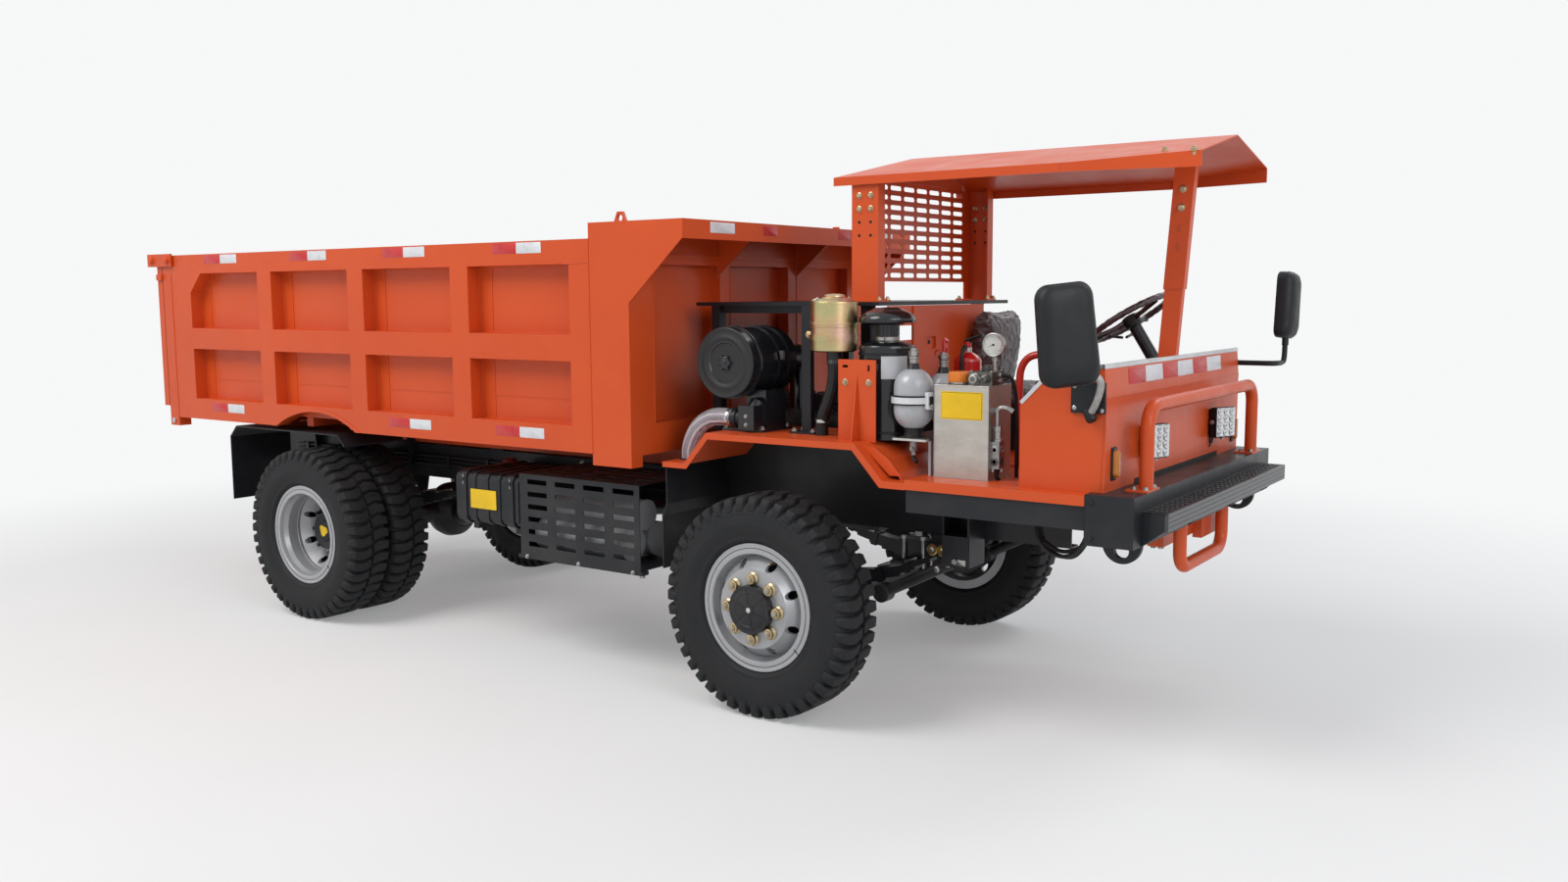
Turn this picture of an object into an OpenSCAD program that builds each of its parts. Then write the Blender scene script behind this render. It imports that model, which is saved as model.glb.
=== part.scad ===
// Underground mining dump truck, four wheels, tipping bed, open driver's place under a small canopy.
// X points to the front, Y to the driver's left, Z up. The origin is on the ground at mid length.
// Stations along X are written as distances in front of the rear axle; on_axle() moves them to the origin.

/* [Overall] */
// Distance between the axles
wheelbase = 3294; // [3200:10:3400]
// Rear axle to the front edge of the step
front_reach = 5074; // [5060:2:5100]
// Rear axle to the back of the tailgate arms
rear_reach = 1642; // [1636:1:1650]

/* [Wheels] */
// Tyre diameter over the lugs
tyre_d = 1018; // [1000:2:1030]
// Tyre section width
tyre_w = 259; // [245:1:262]
// Height of the tread lugs
lug_h = 20; // [12:1:24]
// Number of lugs round each shoulder
lug_n = 24; // [22:1:26]
// Rim flange diameter
rim_d = 585; // [575:1:590]
// Width of the rim over its flanges
rim_w = 200; // [190:1:206]
// Front tyre centre from the middle plane
front_track_half = 991; // [980:1:1000]
// Outer rear tyre centre from the middle plane
rear_track_half = 1023; // [1015:1:1030]
// Distance between the centres of the twin tyres
dual_gap = 290; // [280:1:296]
// Stud circle of the wheels
stud_pcd = 275; // [265:1:280]
// Number of wheel studs
stud_n = 8; // [6:1:10]

/* [Chassis] */
// Half width over the rails
rail_half = 430; // [420:1:440]
// Width of a rail's flanges
rail_w = 75; // [65:1:85]
// Height of a rail
rail_h = 200; // [180:2:210]
// Top of the rails above the ground
rail_top = 1000; // [990:1:1004]
// Wall of the rails
rail_t = 8; // [6:0.5:12]
// Front end of the rails
rail_front = 4510; // [4490:2:4530]

/* [Bed] */
// Front face of the bed's front posts
bed_front = 2532; // [2520:1:2540]
// Rear face of the bed's rear posts
bed_rear = -1504; // [-1510:1:-1500]
// Half width over the side ribs
bed_half = 1050; // [1040:1:1056]
// Top of the side rails
bed_top = 2180; // [2150:2:2200]
// Lower edge of the bottom side rails
bed_low = 1135; // [1133:1:1137]
// Thickness of the bed sheets
bed_sheet = 6; // [5:0.5:10]
// Depth of the side ribs
rib_depth = 80; // [70:1:90]
// Greatest tipping angle
tip_max = 45; // [38:1:46]
// Distance of the bed's hinge pin behind the rear axle
bed_pivot_back = 1250; // [1240:1:1260]
// Height of the bed's hinge pin
bed_pivot_z = 1050; // [1045:1:1055]

/* [Front] */
// Front face of the cowl
cowl_front = 4829; // [4815:1:4835]
// Half width of the cowl
cowl_half = 887; // [870:1:895]
// Top of the cowl at the front
cowl_top = 1627; // [1600:1:1650]
// Top of the bumper
bumper_top = 1131; // [1127:1:1140]
// Top of the low cab floor
floor_top = 1125; // [1120:1:1126]
// Top of the raised fender decks
deck_top = 1264; // [1240:2:1280]
// Half width over the decks
deck_half = 951; // [940:1:960]

/* [Canopy] */
// Top of the black cover plate
cover_top = 1870; // [1860:1:1880]
// Height of the roof's ridge
ridge_top = 2565; // [2540:1:2600]
// Fall of the roof from ridge to eave
roof_fall = 130; // [110:1:150]
// Half width of the roof at the rear
roof_half = 605; // [600:1:640]

/* [Hidden] */
$fn = 64;

orange = "orangered";
black = "#1c1d20";
silver = "silver";
rubber = "#26262a";

// Radial clearance of a pin in its bore
pin_gap = 0.05;
// Gap between parts that lie on each other on different bodies
seat_gap = 0.3;
// Free gap beside parts that turn past each other
side_gap = 6;
// Mid length as a distance in front of the rear axle
mid_x = (front_reach - rear_reach) / 2;
axle_z = tyre_d / 2;
rail_low = rail_top - rail_h;
rail_in = rail_half - rail_w;

module on_axle() {
    translate([-mid_x, 0, 0]) children();
}

// A block from its two limits along each axis
module block(x, y, z) {
    translate([x[0], y[0], z[0]])
        cube([x[1] - x[0], y[1] - y[0], z[1] - z[0]]);
}

// The same thing on both sides of the middle plane
module both_sides() {
    children();
    mirror([0, 1, 0]) children();
}

// A round bar along Y, from y[0] to y[1]
module rod_y(x, z, y, d) {
    translate([x, y[0], z])
        rotate([-90, 0, 0]) cylinder(d = d, h = y[1] - y[0]);
}

// A round bar along X
module rod_x(y, z, x, d) {
    translate([x[0], y, z])
        rotate([0, 90, 0]) cylinder(d = d, h = x[1] - x[0]);
}

// A round bar along Z
module rod_z(x, y, z, d) {
    translate([x, y, z[0]]) cylinder(d = d, h = z[1] - z[0]);
}

// A plate in the X Z plane: outline in X and Z, from y[0] to y[1]
module plate_xz(points, y) {
    translate([0, y[1], 0])
        rotate([90, 0, 0]) linear_extrude(y[1] - y[0]) polygon(points);
}

// A plate in the Y Z plane: outline in Y and Z, from x[0] to x[1]
module plate_yz(points, x) {
    translate([x[0], 0, 0])
        rotate([90, 0, 90]) linear_extrude(x[1] - x[0]) polygon(points);
}

// A tube bent into a hoop in the Y Z plane: two legs and a bar, with round corners
module hoop_tube(x, half, z, bend, d) {
    both_sides() {
        rod_z(x, half, [z[0], z[1] - bend], d);
        translate([x, half - bend, z[1] - bend]) rotate([90, 0, 90])
            rotate_extrude(angle = 90) translate([bend, 0]) circle(d = d);
    }
    rod_y(x, z[1], [bend - half, half - bend], d);
}

// Chassis
// Rear end of the rails, short of the bed's hinge
rail_rear = 80 - bed_pivot_back;
cross_stations = [-1060, 900, 1950];
cross_w = 70;
cross_h = 130;
pivot_pin_d = 50;
pivot_eye_d = 90;
// Beams under the bed, right above the rails
beam_w = 60;
beam_y = (rail_half + rail_in) / 2;
beam_low = rail_top + 10;
bed_floor_low = bed_low + 55;
beam_front = bed_front - 70;
pad_stations = [-900, 0, 900, 1800, 2350];
pad_l = 120;
hinge_cheek_t = 16;
hinge_half = beam_w / 2 + side_gap;

module rail() {
    difference() {
        block([rail_rear, rail_front], [rail_in, rail_half], [rail_low, rail_top]);
        block([rail_rear - 1, rail_front + 1], [rail_in - 1, rail_half - rail_t],
            [rail_low + rail_t, rail_top - rail_t]);
    }
}

// Cheek plates that carry the bed's hinge pin behind a rail's end
module hinge_cheek() {
    difference() {
        plate_xz([[rail_rear, rail_low + 20], [rail_rear, rail_top], [rail_rear - 18, bed_pivot_z + 46],
            [-bed_pivot_back - 46, bed_pivot_z + 46], [-bed_pivot_back - 46, bed_pivot_z - 30],
            [-bed_pivot_back + 10, rail_low + 60]], [0, hinge_cheek_t]);
        translate([-bed_pivot_back, -1, bed_pivot_z]) rotate([-90, 0, 0])
            cylinder(d = pivot_pin_d, h = hinge_cheek_t + 2);
    }
}

module chassis_frame() color(black) on_axle() {
    both_sides() {
        rail();
        for (side = [-1, 1])
            translate([0, beam_y + side * (hinge_half + hinge_cheek_t / 2) - hinge_cheek_t / 2, 0])
                hinge_cheek();
        block([rail_rear - 12, rail_rear], [beam_y - hinge_half - hinge_cheek_t,
            beam_y + hinge_half + hinge_cheek_t],
            [rail_low, rail_top - 30]);
        rod_y(-bed_pivot_back, bed_pivot_z,
            [beam_y - hinge_half - hinge_cheek_t - 8, beam_y + hinge_half + hinge_cheek_t + 8], pivot_pin_d);
        for (x = pad_stations)
            block([x - pad_l / 2, x + pad_l / 2], [beam_y - beam_w / 2, beam_y + beam_w / 2],
                [rail_top, beam_low - seat_gap]);
        spring_hangers();
    }
    for (x = cross_stations)
        block([x - cross_w / 2, x + cross_w / 2], [rail_t - rail_half, rail_half - rail_t],
            [rail_low + rail_t, rail_low + rail_t + cross_h]);
    hoist_bracket();
}

// Leaf springs: axle station, half length between the eyes, height of the eyes, spring centre line
spring_w = 70;
spring_y = rail_half - rail_w / 2;
leaf_t = 12;
front_spring_half = 600;
rear_spring_half = 610;
spring_eye_d = 56;
front_eye_z = rail_low - 70;
rear_eye_z = rail_low - 60;
front_beam_top = axle_z - 20;
rear_tube_d = 130;
rear_seat_z = axle_z + rear_tube_d / 2 + 12;
front_leaves = 7;
rear_leaves = 8;

// A spring pack in the X Z plane: a bowed main leaf with eyes, shorter leaves below it
module spring_pack(x0, half, eye_z, low_z, leaves) {
    bow = eye_z - low_z - leaves * leaf_t;
    radius = (half * half + bow * bow) / (2 * bow);
    y = [spring_y - spring_w / 2, spring_y + spring_w / 2];
    for (i = [0 : leaves - 1]) {
        reach = half * (1 - i / (leaves + 0.6)) - (i == 0 ? spring_eye_d * 0.35 : 0);
        a = asin(reach / radius);
        translate([x0, y[1], low_z + (leaves - 1) * leaf_t + radius]) rotate([90, 0, 0])
            linear_extrude(y[1] - y[0]) intersection() {
                difference() {
                    circle(r = radius + i * leaf_t + (i < leaves - 1 ? 0.5 : 0), $fn = 180);
                    circle(r = radius + (i - 1) * leaf_t, $fn = 180);
                }
                translate([-reach, -radius * 2]) square([2 * reach, radius * 2]);
            }
    }
    for (side = [-1, 1])
        difference() {
            rod_y(x0 + side * half, eye_z, y, spring_eye_d);
            rod_y(x0 + side * half, eye_z, [y[0] - 1, y[1] + 1], spring_eye_d - 26);
        }
}

// Brackets on a rail that hold a spring's eyes
hanger_t = 14;
module hanger(x, eye_z) {
    for (y = [spring_y - spring_w / 2 - hanger_t, spring_y + spring_w / 2])
        plate_xz([[x - 70, rail_low], [x + 70, rail_low], [x + 34, eye_z - 26], [x - 34, eye_z - 26]],
            [y, y + hanger_t]);
    rod_y(x, eye_z, [spring_y - spring_w / 2 - hanger_t - 8, spring_y + spring_w / 2 + hanger_t + 8],
        spring_eye_d - 26);
    block([x - 72, x + 72], [spring_y - spring_w / 2 - hanger_t, spring_y + spring_w / 2 + hanger_t],
        [rail_low - 8, rail_low]);
}

module spring_hangers() {
    for (side = [-1, 1]) {
        hanger(wheelbase + side * front_spring_half, front_eye_z);
        hanger(side * rear_spring_half, rear_eye_z);
    }
}

module leaf_springs() color(black) on_axle() both_sides() {
    spring_pack(wheelbase, front_spring_half, front_eye_z, front_beam_top, front_leaves);
    spring_pack(0, rear_spring_half, rear_eye_z, rear_seat_z, rear_leaves);
}

// Hoist: a telescopic cylinder that stands behind the rear axle
hoist_r = 1000;
hoist_down = 28;
hoist_up = 2;
hoist_base = [hoist_r * cos(hoist_down) - bed_pivot_back, bed_pivot_z - hoist_r * sin(hoist_down)];
hoist_head = [hoist_r * cos(hoist_up) - bed_pivot_back, bed_pivot_z + hoist_r * sin(hoist_up)];
hoist_lean = atan2(hoist_head[1] - hoist_base[1], hoist_head[0] - hoist_base[0]);
hoist_rest = 2 * hoist_r * sin((hoist_down + hoist_up) / 2);
barrel_d = 150;
sleeve_d = 126;
rod_d = 96;
hoist_eye_d = 60;
hoist_pin_d = 32;
hoist_eye_w = 50;
// Stroke of each of the two stages, from the bed at rest to its greatest angle
hoist_stroke = hoist_r * sin((hoist_down + hoist_up + tip_max) / 2) - hoist_rest / 2;
barrel_l = hoist_stroke + 100;
cheek_y = hoist_eye_w / 2 + side_gap;
hoist_beam_x = hoist_base[0] - 185;

module hoist_cheek(y) {
    plate_xz([[hoist_beam_x - 45, rail_low + rail_t], [hoist_beam_x + 45, rail_low + rail_t],
        [hoist_base[0] - 110, hoist_base[1] + 60], [hoist_base[0] - 62, hoist_base[1] + 20],
        [hoist_base[0], hoist_base[1] + 34], [hoist_base[0], hoist_base[1] - 34],
        [hoist_base[0] - 80, hoist_base[1] - 30]], y);
    rod_y(hoist_base[0], hoist_base[1], y, 68);
}

module hoist_bracket() {
    block([hoist_beam_x - 45, hoist_beam_x + 45], [rail_t - rail_half, rail_half - rail_t],
        [rail_low + rail_t, rail_low + rail_t + cross_h]);
    for (y = [-cheek_y - 14, cheek_y])
        hoist_cheek([y, y + 14]);
    rod_y(hoist_base[0], hoist_base[1], [-cheek_y - 22, cheek_y + 22], hoist_pin_d);
}

// Places a thing modelled along +X from the hoist's lower pin
module along_hoist() {
    translate([hoist_base[0], 0, hoist_base[1]]) rotate([0, -hoist_lean, 0]) children();
}

module hoist_eye(x, bore) {
    difference() {
        rod_y(x, 0, [-hoist_eye_w / 2, hoist_eye_w / 2], hoist_eye_d);
        rod_y(x, 0, [-hoist_eye_w, hoist_eye_w], bore);
    }
}

module hoist_barrel() color(black) on_axle() along_hoist() {
    hoist_eye(0, hoist_pin_d + 2 * pin_gap);
    rod_x(0, 0, [26, 44], 50);
    difference() {
        rod_x(0, 0, [44, barrel_l], barrel_d);
        rod_x(0, 0, [60, barrel_l + 1], sleeve_d + 2 * pin_gap);
    }
}

module hoist_sleeve() color(silver) on_axle() along_hoist() {
    difference() {
        rod_x(0, 0, [62, barrel_l + 12], sleeve_d);
        rod_x(0, 0, [76, barrel_l + 13], rod_d + 2 * pin_gap);
    }
}

module hoist_rod() color(silver) on_axle() along_hoist() {
    rod_x(0, 0, [78, barrel_l + 20], rod_d);
    rod_x(0, 0, [barrel_l + 20, hoist_rest - 24], 50);
    hoist_eye(hoist_rest, hoist_pin_d);
    rod_y(hoist_rest, 0, [-hoist_eye_w / 2 - 1, hoist_eye_w / 2 + 1], hoist_pin_d);
}

// Axles and steering
king_y = 790;
king_d = 50;
eye_h = 90;
// Length of the beam's level end beside the king pin, clear of the yoke
eye_reach = 58;
yoke_t = 34;
spindle_d = 90;
arm_back = 190;
arm_t = 26;
hub_in_front = king_y + 76 + side_gap;
steer_stud_d = 20;

module front_axle() color(black) on_axle() {
    difference() {
        union() {
            plate_yz([[-spring_y - 90, front_beam_top - 92], [-spring_y - 60, front_beam_top],
                [spring_y + 60, front_beam_top], [spring_y + 90, front_beam_top - 92]],
                [wheelbase - 45, wheelbase + 45]);
            both_sides() {
                plate_yz([[spring_y + 50, front_beam_top - 92], [king_y - eye_reach, axle_z - eye_h / 2],
                    [king_y, axle_z - eye_h / 2], [king_y, axle_z + eye_h / 2],
                    [king_y - eye_reach, axle_z + eye_h / 2], [spring_y + 50, front_beam_top]],
                    [wheelbase - 36, wheelbase + 36]);
                rod_z(wheelbase, king_y, [axle_z - eye_h / 2, axle_z + eye_h / 2], 96);
            }
        }
        for (side = [-1, 1])
            rod_z(wheelbase, side * king_y, [axle_z - eye_h, axle_z + eye_h], king_d + 2 * pin_gap);
    }
}

module knuckle() {
    low = axle_z - eye_h / 2 - seat_gap;
    high = axle_z + eye_h / 2 + seat_gap;
    rod_z(wheelbase, king_y, [low - yoke_t, high + yoke_t], king_d);
    for (z = [low - yoke_t, high]) {
        rod_z(wheelbase, king_y, [z, z + yoke_t], 92);
        block([wheelbase - 46, wheelbase + 46], [king_y, king_y + 62], [z, z + yoke_t]);
    }
    block([wheelbase - 60, wheelbase + 60], [king_y + 56, king_y + 76],
        [low - yoke_t, high + yoke_t]);
    rod_y(wheelbase, axle_z, [king_y + 76, front_hub_face - 30], spindle_d);
    difference() {
        union() {
            block([wheelbase - arm_back, wheelbase], [king_y - 22, king_y + 22],
                [low - yoke_t - arm_t, low - yoke_t]);
            rod_z(wheelbase - arm_back, king_y, [low - yoke_t - arm_t, low - yoke_t], 50);
        }
        rod_z(wheelbase - arm_back, king_y, [0, axle_z], steer_stud_d + 2 * pin_gap);
    }
}

module knuckle_right() color(black) on_axle() mirror([0, 1, 0]) knuckle();
module knuckle_left() color(black) on_axle() knuckle();

module tie_rod() color(black) on_axle() {
    top = axle_z - eye_h / 2 - seat_gap - yoke_t;
    z = top - arm_t - seat_gap - 20;
    both_sides() {
        rod_z(wheelbase - arm_back, king_y, [z - 20, z + 20], 46);
        rod_z(wheelbase - arm_back, king_y, [z + 20, top], steer_stud_d);
    }
    rod_y(wheelbase - arm_back, z, [-king_y + 20, king_y - 20], 30);
}

module rear_axle() color(black) on_axle() {
    difference() {
        union() {
            rod_y(0, axle_z, [-rear_tube_half, rear_tube_half], rear_tube_d);
            translate([0, 0, axle_z]) rotate([0, 90, 0]) rotate_extrude()
                polygon([[0, -120], [110, -110], [170, -50], [180, 0], [170, 50], [110, 110], [0, 120]]);
            translate([100, 0, axle_z]) rotate([0, 90, 0]) cylinder(d1 = 210, d2 = 110, h = 170);
        }
    }
    both_sides() {
        block([-60, 60], [spring_y - spring_w / 2 - 10, spring_y + spring_w / 2 + 10],
            [axle_z + rear_tube_d / 2 - 8, rear_seat_z]);
        rod_y(0, axle_z, [rear_tube_half - 60, rear_tube_half], 160);
        rod_y(0, axle_z, [rear_tube_half, rear_hub_face - 30], spindle_d);
    }
}

rear_tube_half = 570;
front_hub_face = front_track_half + rim_w / 2 + 20;
rear_hub_face = rear_track_half - dual_gap / 2 + 30;

// Wheel rims
rim_r = rim_d / 2;
bead_r = 254;
flange_t = 9;
disc_t = 12;
// Radius of the discs' centre bore
centre_r = 110;

// One rim ring, revolved about Y, centred on the tyre
module rim_ring(y0) {
    h = rim_w / 2;
    translate([0, y0, 0]) rotate([-90, 0, 0]) rotate_extrude($fn = 96)
        polygon([[bead_r - 8, -h], [rim_r, -h], [rim_r, -h + flange_t], [bead_r, -h + flange_t + 3],
            [bead_r, h - flange_t - 3], [rim_r, h - flange_t], [rim_r, h], [bead_r - 8, h],
            [bead_r - 12, h - 24], [bead_r - 22, h - 50], [bead_r - 22, -h + 40]]);
}

// A wheel disc that runs from the rim's well to the hub's face, with round hand holes
module wheel_disc(y_rim, y_face, holes_r) {
    difference() {
        rotate([-90, 0, 0]) rotate_extrude($fn = 96)
            polygon([[centre_r, y_face - disc_t], [175, y_face - disc_t], [bead_r - 20, y_rim - disc_t],
                [bead_r - 20, y_rim + disc_t], [182, y_face], [centre_r, y_face]]);
        for (i = [0 : stud_n - 1])
            rotate([0, (i + 0.5) * 360 / stud_n, 0])
                translate([holes_r, min(y_rim, y_face) - 40, 0]) rotate([-90, 0, 0])
                    cylinder(d = 40, h = abs(y_face - y_rim) + 80);
    }
}

// Studs with nuts on the hub's face
module studs(y, reach) {
    for (i = [0 : stud_n - 1])
        rotate([0, i * 360 / stud_n, 0]) {
            rod_y(stud_pcd / 2, 0, [y, y + reach], 22);
            translate([stud_pcd / 2, y, 0]) rotate([-90, 0, 0]) cylinder(d = 42, h = 26, $fn = 6);
        }
}

// Front wheel: rim, convex disc, drum behind it and hub with its cap
module front_rim() {
    translate([wheelbase, 0, axle_z]) {
        rim_ring(front_track_half);
        wheel_disc(front_track_half + 36, front_hub_face, 205);
        studs(front_hub_face - 1, 41);
        difference() {
            union() {
                rod_y(0, 0, [hub_in_front, front_hub_face - disc_t], 200);
                rod_y(0, 0, [front_hub_face - disc_t - 24, front_hub_face - disc_t], 330);
                rod_y(0, 0, [front_hub_face - disc_t - 1, front_hub_face + 34], 2 * centre_r);
                rod_y(0, 0, [hub_in_front, hub_in_front + 90], 400);
            }
            rod_y(0, 0, [hub_in_front - 1, front_hub_face - 29], spindle_d + 2 * pin_gap);
        }
    }
}

// Twin rear wheels: two rims, two discs face to face, drum and hub
module rear_rims() {
    inner = rear_track_half - dual_gap;
    translate([0, 0, axle_z]) {
        rim_ring(rear_track_half);
        rim_ring(inner);
        wheel_disc(rear_track_half - 40, rear_hub_face, 205);
        mirror_y = rear_hub_face - disc_t;
        wheel_disc(inner + 40, mirror_y, 205);
        studs(rear_hub_face - 1, 61);
        difference() {
            union() {
                rod_y(0, 0, [rear_tube_half + seat_gap + 20, rear_hub_face - disc_t], 2 * centre_r);
                rod_y(0, 0, [rear_hub_face - disc_t - 1, rear_hub_face + 70], 2 * centre_r);
                rod_y(0, 0, [rear_hub_face - 2 * disc_t - 24, rear_hub_face - 2 * disc_t], 330);
                rod_y(0, 0, [rear_tube_half + seat_gap + 20, rear_tube_half + 150], 410);
            }
            rod_y(0, 0, [rear_tube_half, rear_hub_face - 29], spindle_d + 2 * pin_gap);
        }
    }
}

module rim_front_right() color(silver) on_axle() mirror([0, 1, 0]) front_rim();
module rim_front_left() color(silver) on_axle() front_rim();
module rims_rear_right() color(silver) on_axle() mirror([0, 1, 0]) rear_rims();
module rims_rear_left() color(silver) on_axle() rear_rims();

// Lug blocks round the tread: inner and outer edge from the middle, width, shift in pitches
lug_rows = [[-108, -14, 50, 0], [14, 108, 50, 0.5]];

// A tyre revolved about Y, seated in its rim, with its tread lugs
module tyre(y0) {
    translate([0, y0, 0]) {
        carcass();
        for (row = lug_rows, i = [0 : lug_n - 1])
            rotate([0, 90 + (i + row[3]) * 360 / lug_n, 0]) lug(row);
    }
}

// One lug, square across the tread, sloped down the shoulder
module lug(row) {
    r = tyre_d / 2;
    out = row[0] < 0 ? row[0] : row[1];
    in = row[0] < 0 ? row[1] : row[0];
    side = sign(out);
    translate([0, 0, -row[2] / 2]) linear_extrude(row[2])
        polygon([[r, in], [r, out - side * 22], [r - 18, out], [r - 62, out + side * 12], [r - 62,
            out - side * 20],
            [r - lug_h - 12, in]]);
}

module carcass() {
    r = tyre_d / 2 - lug_h;
    w = tyre_w / 2;
    h = rim_w / 2;
    in_r = bead_r + seat_gap;
    rotate([-90, 0, 0]) rotate_extrude($fn = 96)
        polygon([[in_r, 3 + flange_t - h], [rim_r + seat_gap, flange_t - h + 0.3], [rim_r + 12, -h - 8],
            [r - 125, -w], [r - 78, -w], [r - 14, -w + 26], [r, -w + 48], [r, w - 48], [r - 14, w - 26],
            [r - 78, w], [r - 125, w], [rim_r + 12, h + 8], [rim_r + seat_gap, h - flange_t - 0.3],
            [in_r, h - flange_t - 3]]);
}

module front_tyre() {
    translate([wheelbase, 0, axle_z]) tyre(front_track_half);
}

module rear_tyres() {
    translate([0, 0, axle_z]) {
        tyre(rear_track_half);
        tyre(rear_track_half - dual_gap);
    }
}

module tyre_front_right() color(rubber) on_axle() mirror([0, 1, 0]) front_tyre();
module tyre_front_left() color(rubber) on_axle() front_tyre();
module tyres_rear_right() color(rubber) on_axle() mirror([0, 1, 0]) rear_tyres();
module tyres_rear_left() color(rubber) on_axle() rear_tyres();

// Power train
engine_x = [2640, 3420];
engine_low = 720;
gearbox_x = [2120, engine_x[0]];
shaft_high = 770;
nose_x = 270;

// Engine: crankcase with sump, head with its covers, manifolds, fan, radiator, bell housing and gearbox
head_cover_n = 4;
head_cover_pitch = 165;
crank_z = 1000;
radiator_x = [3476, 3546];

module engine() color("dimgray") on_axle() {
    plate_yz([[-220, 860], [-250, 1000], [-215, 1180], [215, 1180], [250, 1000], [220, 860], [150,
        engine_low],
        [-150, engine_low]], [engine_x[0] + 20, engine_x[1] - 40]);
    block([engine_x[0] + 40, engine_x[1] - 60], [-125, 125], [1180, 1310]);
    for (i = [0 : head_cover_n - 1])
        block([engine_x[0] + 62 + i * head_cover_pitch, engine_x[0] + 192 + i * head_cover_pitch],
            [-100, 100],
            [1310, 1390]);
    // manifolds
    rod_x(-215, 1270, [engine_x[0] + 50, engine_x[1] - 70], 100);
    rod_x(205, 1250, [engine_x[0] + 70, engine_x[1] - 90], 84);
    for (i = [0 : head_cover_n - 1], y = [[-190, -120], [120, 190]])
        rod_y(engine_x[0] + 127 + i * head_cover_pitch, 1255, y, 52);
    rod_z(engine_x[0] + 180, 205, [1000, 1250], 76);
    // alternator, belt pulleys and fan
    rod_x(-266, 1080, [engine_x[1] - 220, engine_x[1] - 60], 140);
    for (yz = [[-266, 1080, 90], [0, crank_z, 190], [0, 1210, 150]])
        rod_x(yz[0], yz[1], [engine_x[1] - 62, engine_x[1] - 20], yz[2]);
    rod_x(0, 1210, [engine_x[1] - 20, engine_x[1] + 12], 90);
    for (a = [0 : 60 : 300])
        translate([engine_x[1] + 6, 0, 1210]) rotate([a, 0, 0]) rotate([0, 0, 28])
            block([-4, 4], [-50, 50], [30, 230]);
    rod_x(-266, 1080, [engine_x[1] - 240, engine_x[1] - 220], 60);
    block([engine_x[1] - 200, engine_x[1] - 80], [-280, -200], [1010, 1090]);
    rod_z(cleaner_x, -outlet_y, [1280, outlet_low], outlet_d + 8);
    // radiator with its tanks, standing on the cab's rails
    block(radiator_x, [-320, 320], [sub_top, 1500]);
    block([radiator_x[0] - 16, radiator_x[1] + 16], [-330, 330], [1500, 1580]);
    block([radiator_x[0] - 16, radiator_x[1] + 16], [-360, 360], [sub_top, sub_top + 60]);
    rod_x(-120, 1545, [engine_x[1] - 100, radiator_x[0] - 10], 60);
    rod_z(engine_x[1] - 110, -120, [1180, 1575], 60);
    // bell housing and gearbox
    rod_x(0, crank_z, [gearbox_x[1] - 88, gearbox_x[1] + 24], 430);
    plate_yz([[-150, shaft_high - 130], [-175, 930], [-120, 1106], [120, 1106], [175, 930], [150,
        shaft_high - 130]],
        [gearbox_x[0], gearbox_x[1] - 86]);
    for (x = [gearbox_x[0] + 120, gearbox_x[0] + 260])
        plate_yz([[-160, shaft_high - 140], [-186, 930], [-128, 1116], [128, 1116], [186, 930],
            [160, shaft_high - 140]], [x, x + 22]);
    for (side = [-1, 1], x = [engine_x[0] + 90, engine_x[1] - 170])
        block([x, x + 90], side > 0 ? [200, rail_half - rail_t] : [rail_t - rail_half, -200], [880, 930]);
}

module drive_shaft() color(black) on_axle() {
    rise = shaft_high - 60 - axle_z;
    run = gearbox_x[0] - nose_x;
    tilt = atan2(rise, run);
    length = sqrt(rise * rise + run * run);
    translate([nose_x, 0, axle_z]) rotate([0, -tilt, 0]) {
        rod_x(0, 0, [8, length - 30], 76);
    }
    rod_x(0, axle_z, [nose_x, nose_x + 14], 108);
    rod_x(0, shaft_high - 60, [gearbox_x[0] - 34, gearbox_x[0]], 108);
}

// Cab frame: rails on top of the chassis, cross beams, sills and black inner fender plates
sub_top = floor_top - 20;
cab_rear_x = 2640;
sill_rear = 3976;
bumper_x = [4775, 4971];
arch_x = [2777, 2909, 3720, 3863, 3974];
fender_in = 450;
sill_w = 50;

module cab_frame() color(black) on_axle() {
    both_sides() {
        block([cab_rear_x, bumper_x[1] - 8], [rail_in, rail_half], [rail_top, sub_top]);
        block([sill_rear, bumper_x[1] - 8], [deck_half - 12 - sill_w, deck_half - 12], [sub_top - 120,
            sub_top]);
        for (x = [sill_rear, 4300, bumper_x[0] - 60])
            block([x, x + 60], [rail_half, deck_half - 12 - sill_w], [sub_top - 80, sub_top]);
        // inner fender plate under the raised deck's inner edge
        plate_xz([[cab_rear_x + 6, rail_top], [cab_rear_x + 6, sub_top], [arch_x[0], sub_top],
            [arch_x[1], deck_top - 6], [arch_x[2], deck_top - 6], [arch_x[3], sub_top], [sill_rear, sub_top],
            [sill_rear, rail_top]], [fender_in, fender_in + 6]);
        block([cab_rear_x + 6, sill_rear], [rail_half, fender_in], [rail_top + 20, rail_top + 60]);
        // kinked skirt plate behind the front wheel
        plate_xz([[cab_rear_x, sub_top], [cab_rear_x + 6, sub_top], [cab_rear_x + 6, 900],
            [cab_rear_x - 22, 840], [cab_rear_x - 22, 580], [cab_rear_x - 28, 580], [cab_rear_x - 28, 842],
            [cab_rear_x, 902]], [rail_half, deck_half - 24]);
    }
    for (x = [3560, 4640])
        block([x, x + 60], [-rail_in, rail_in], [rail_top, sub_top]);
}

// Bumper box, as wide as the deck, with its grooved step, tow eyes and the hanging step hoop
bumper_half = deck_half;
step_half = bumper_half - 91;
step_z = [996, 1066];
bumper_low = 930;
groove_n = 9;
tow_x = 4870;
tow_y = 786;
tow_bore_r = 30;
tow_drop = 38;

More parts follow.
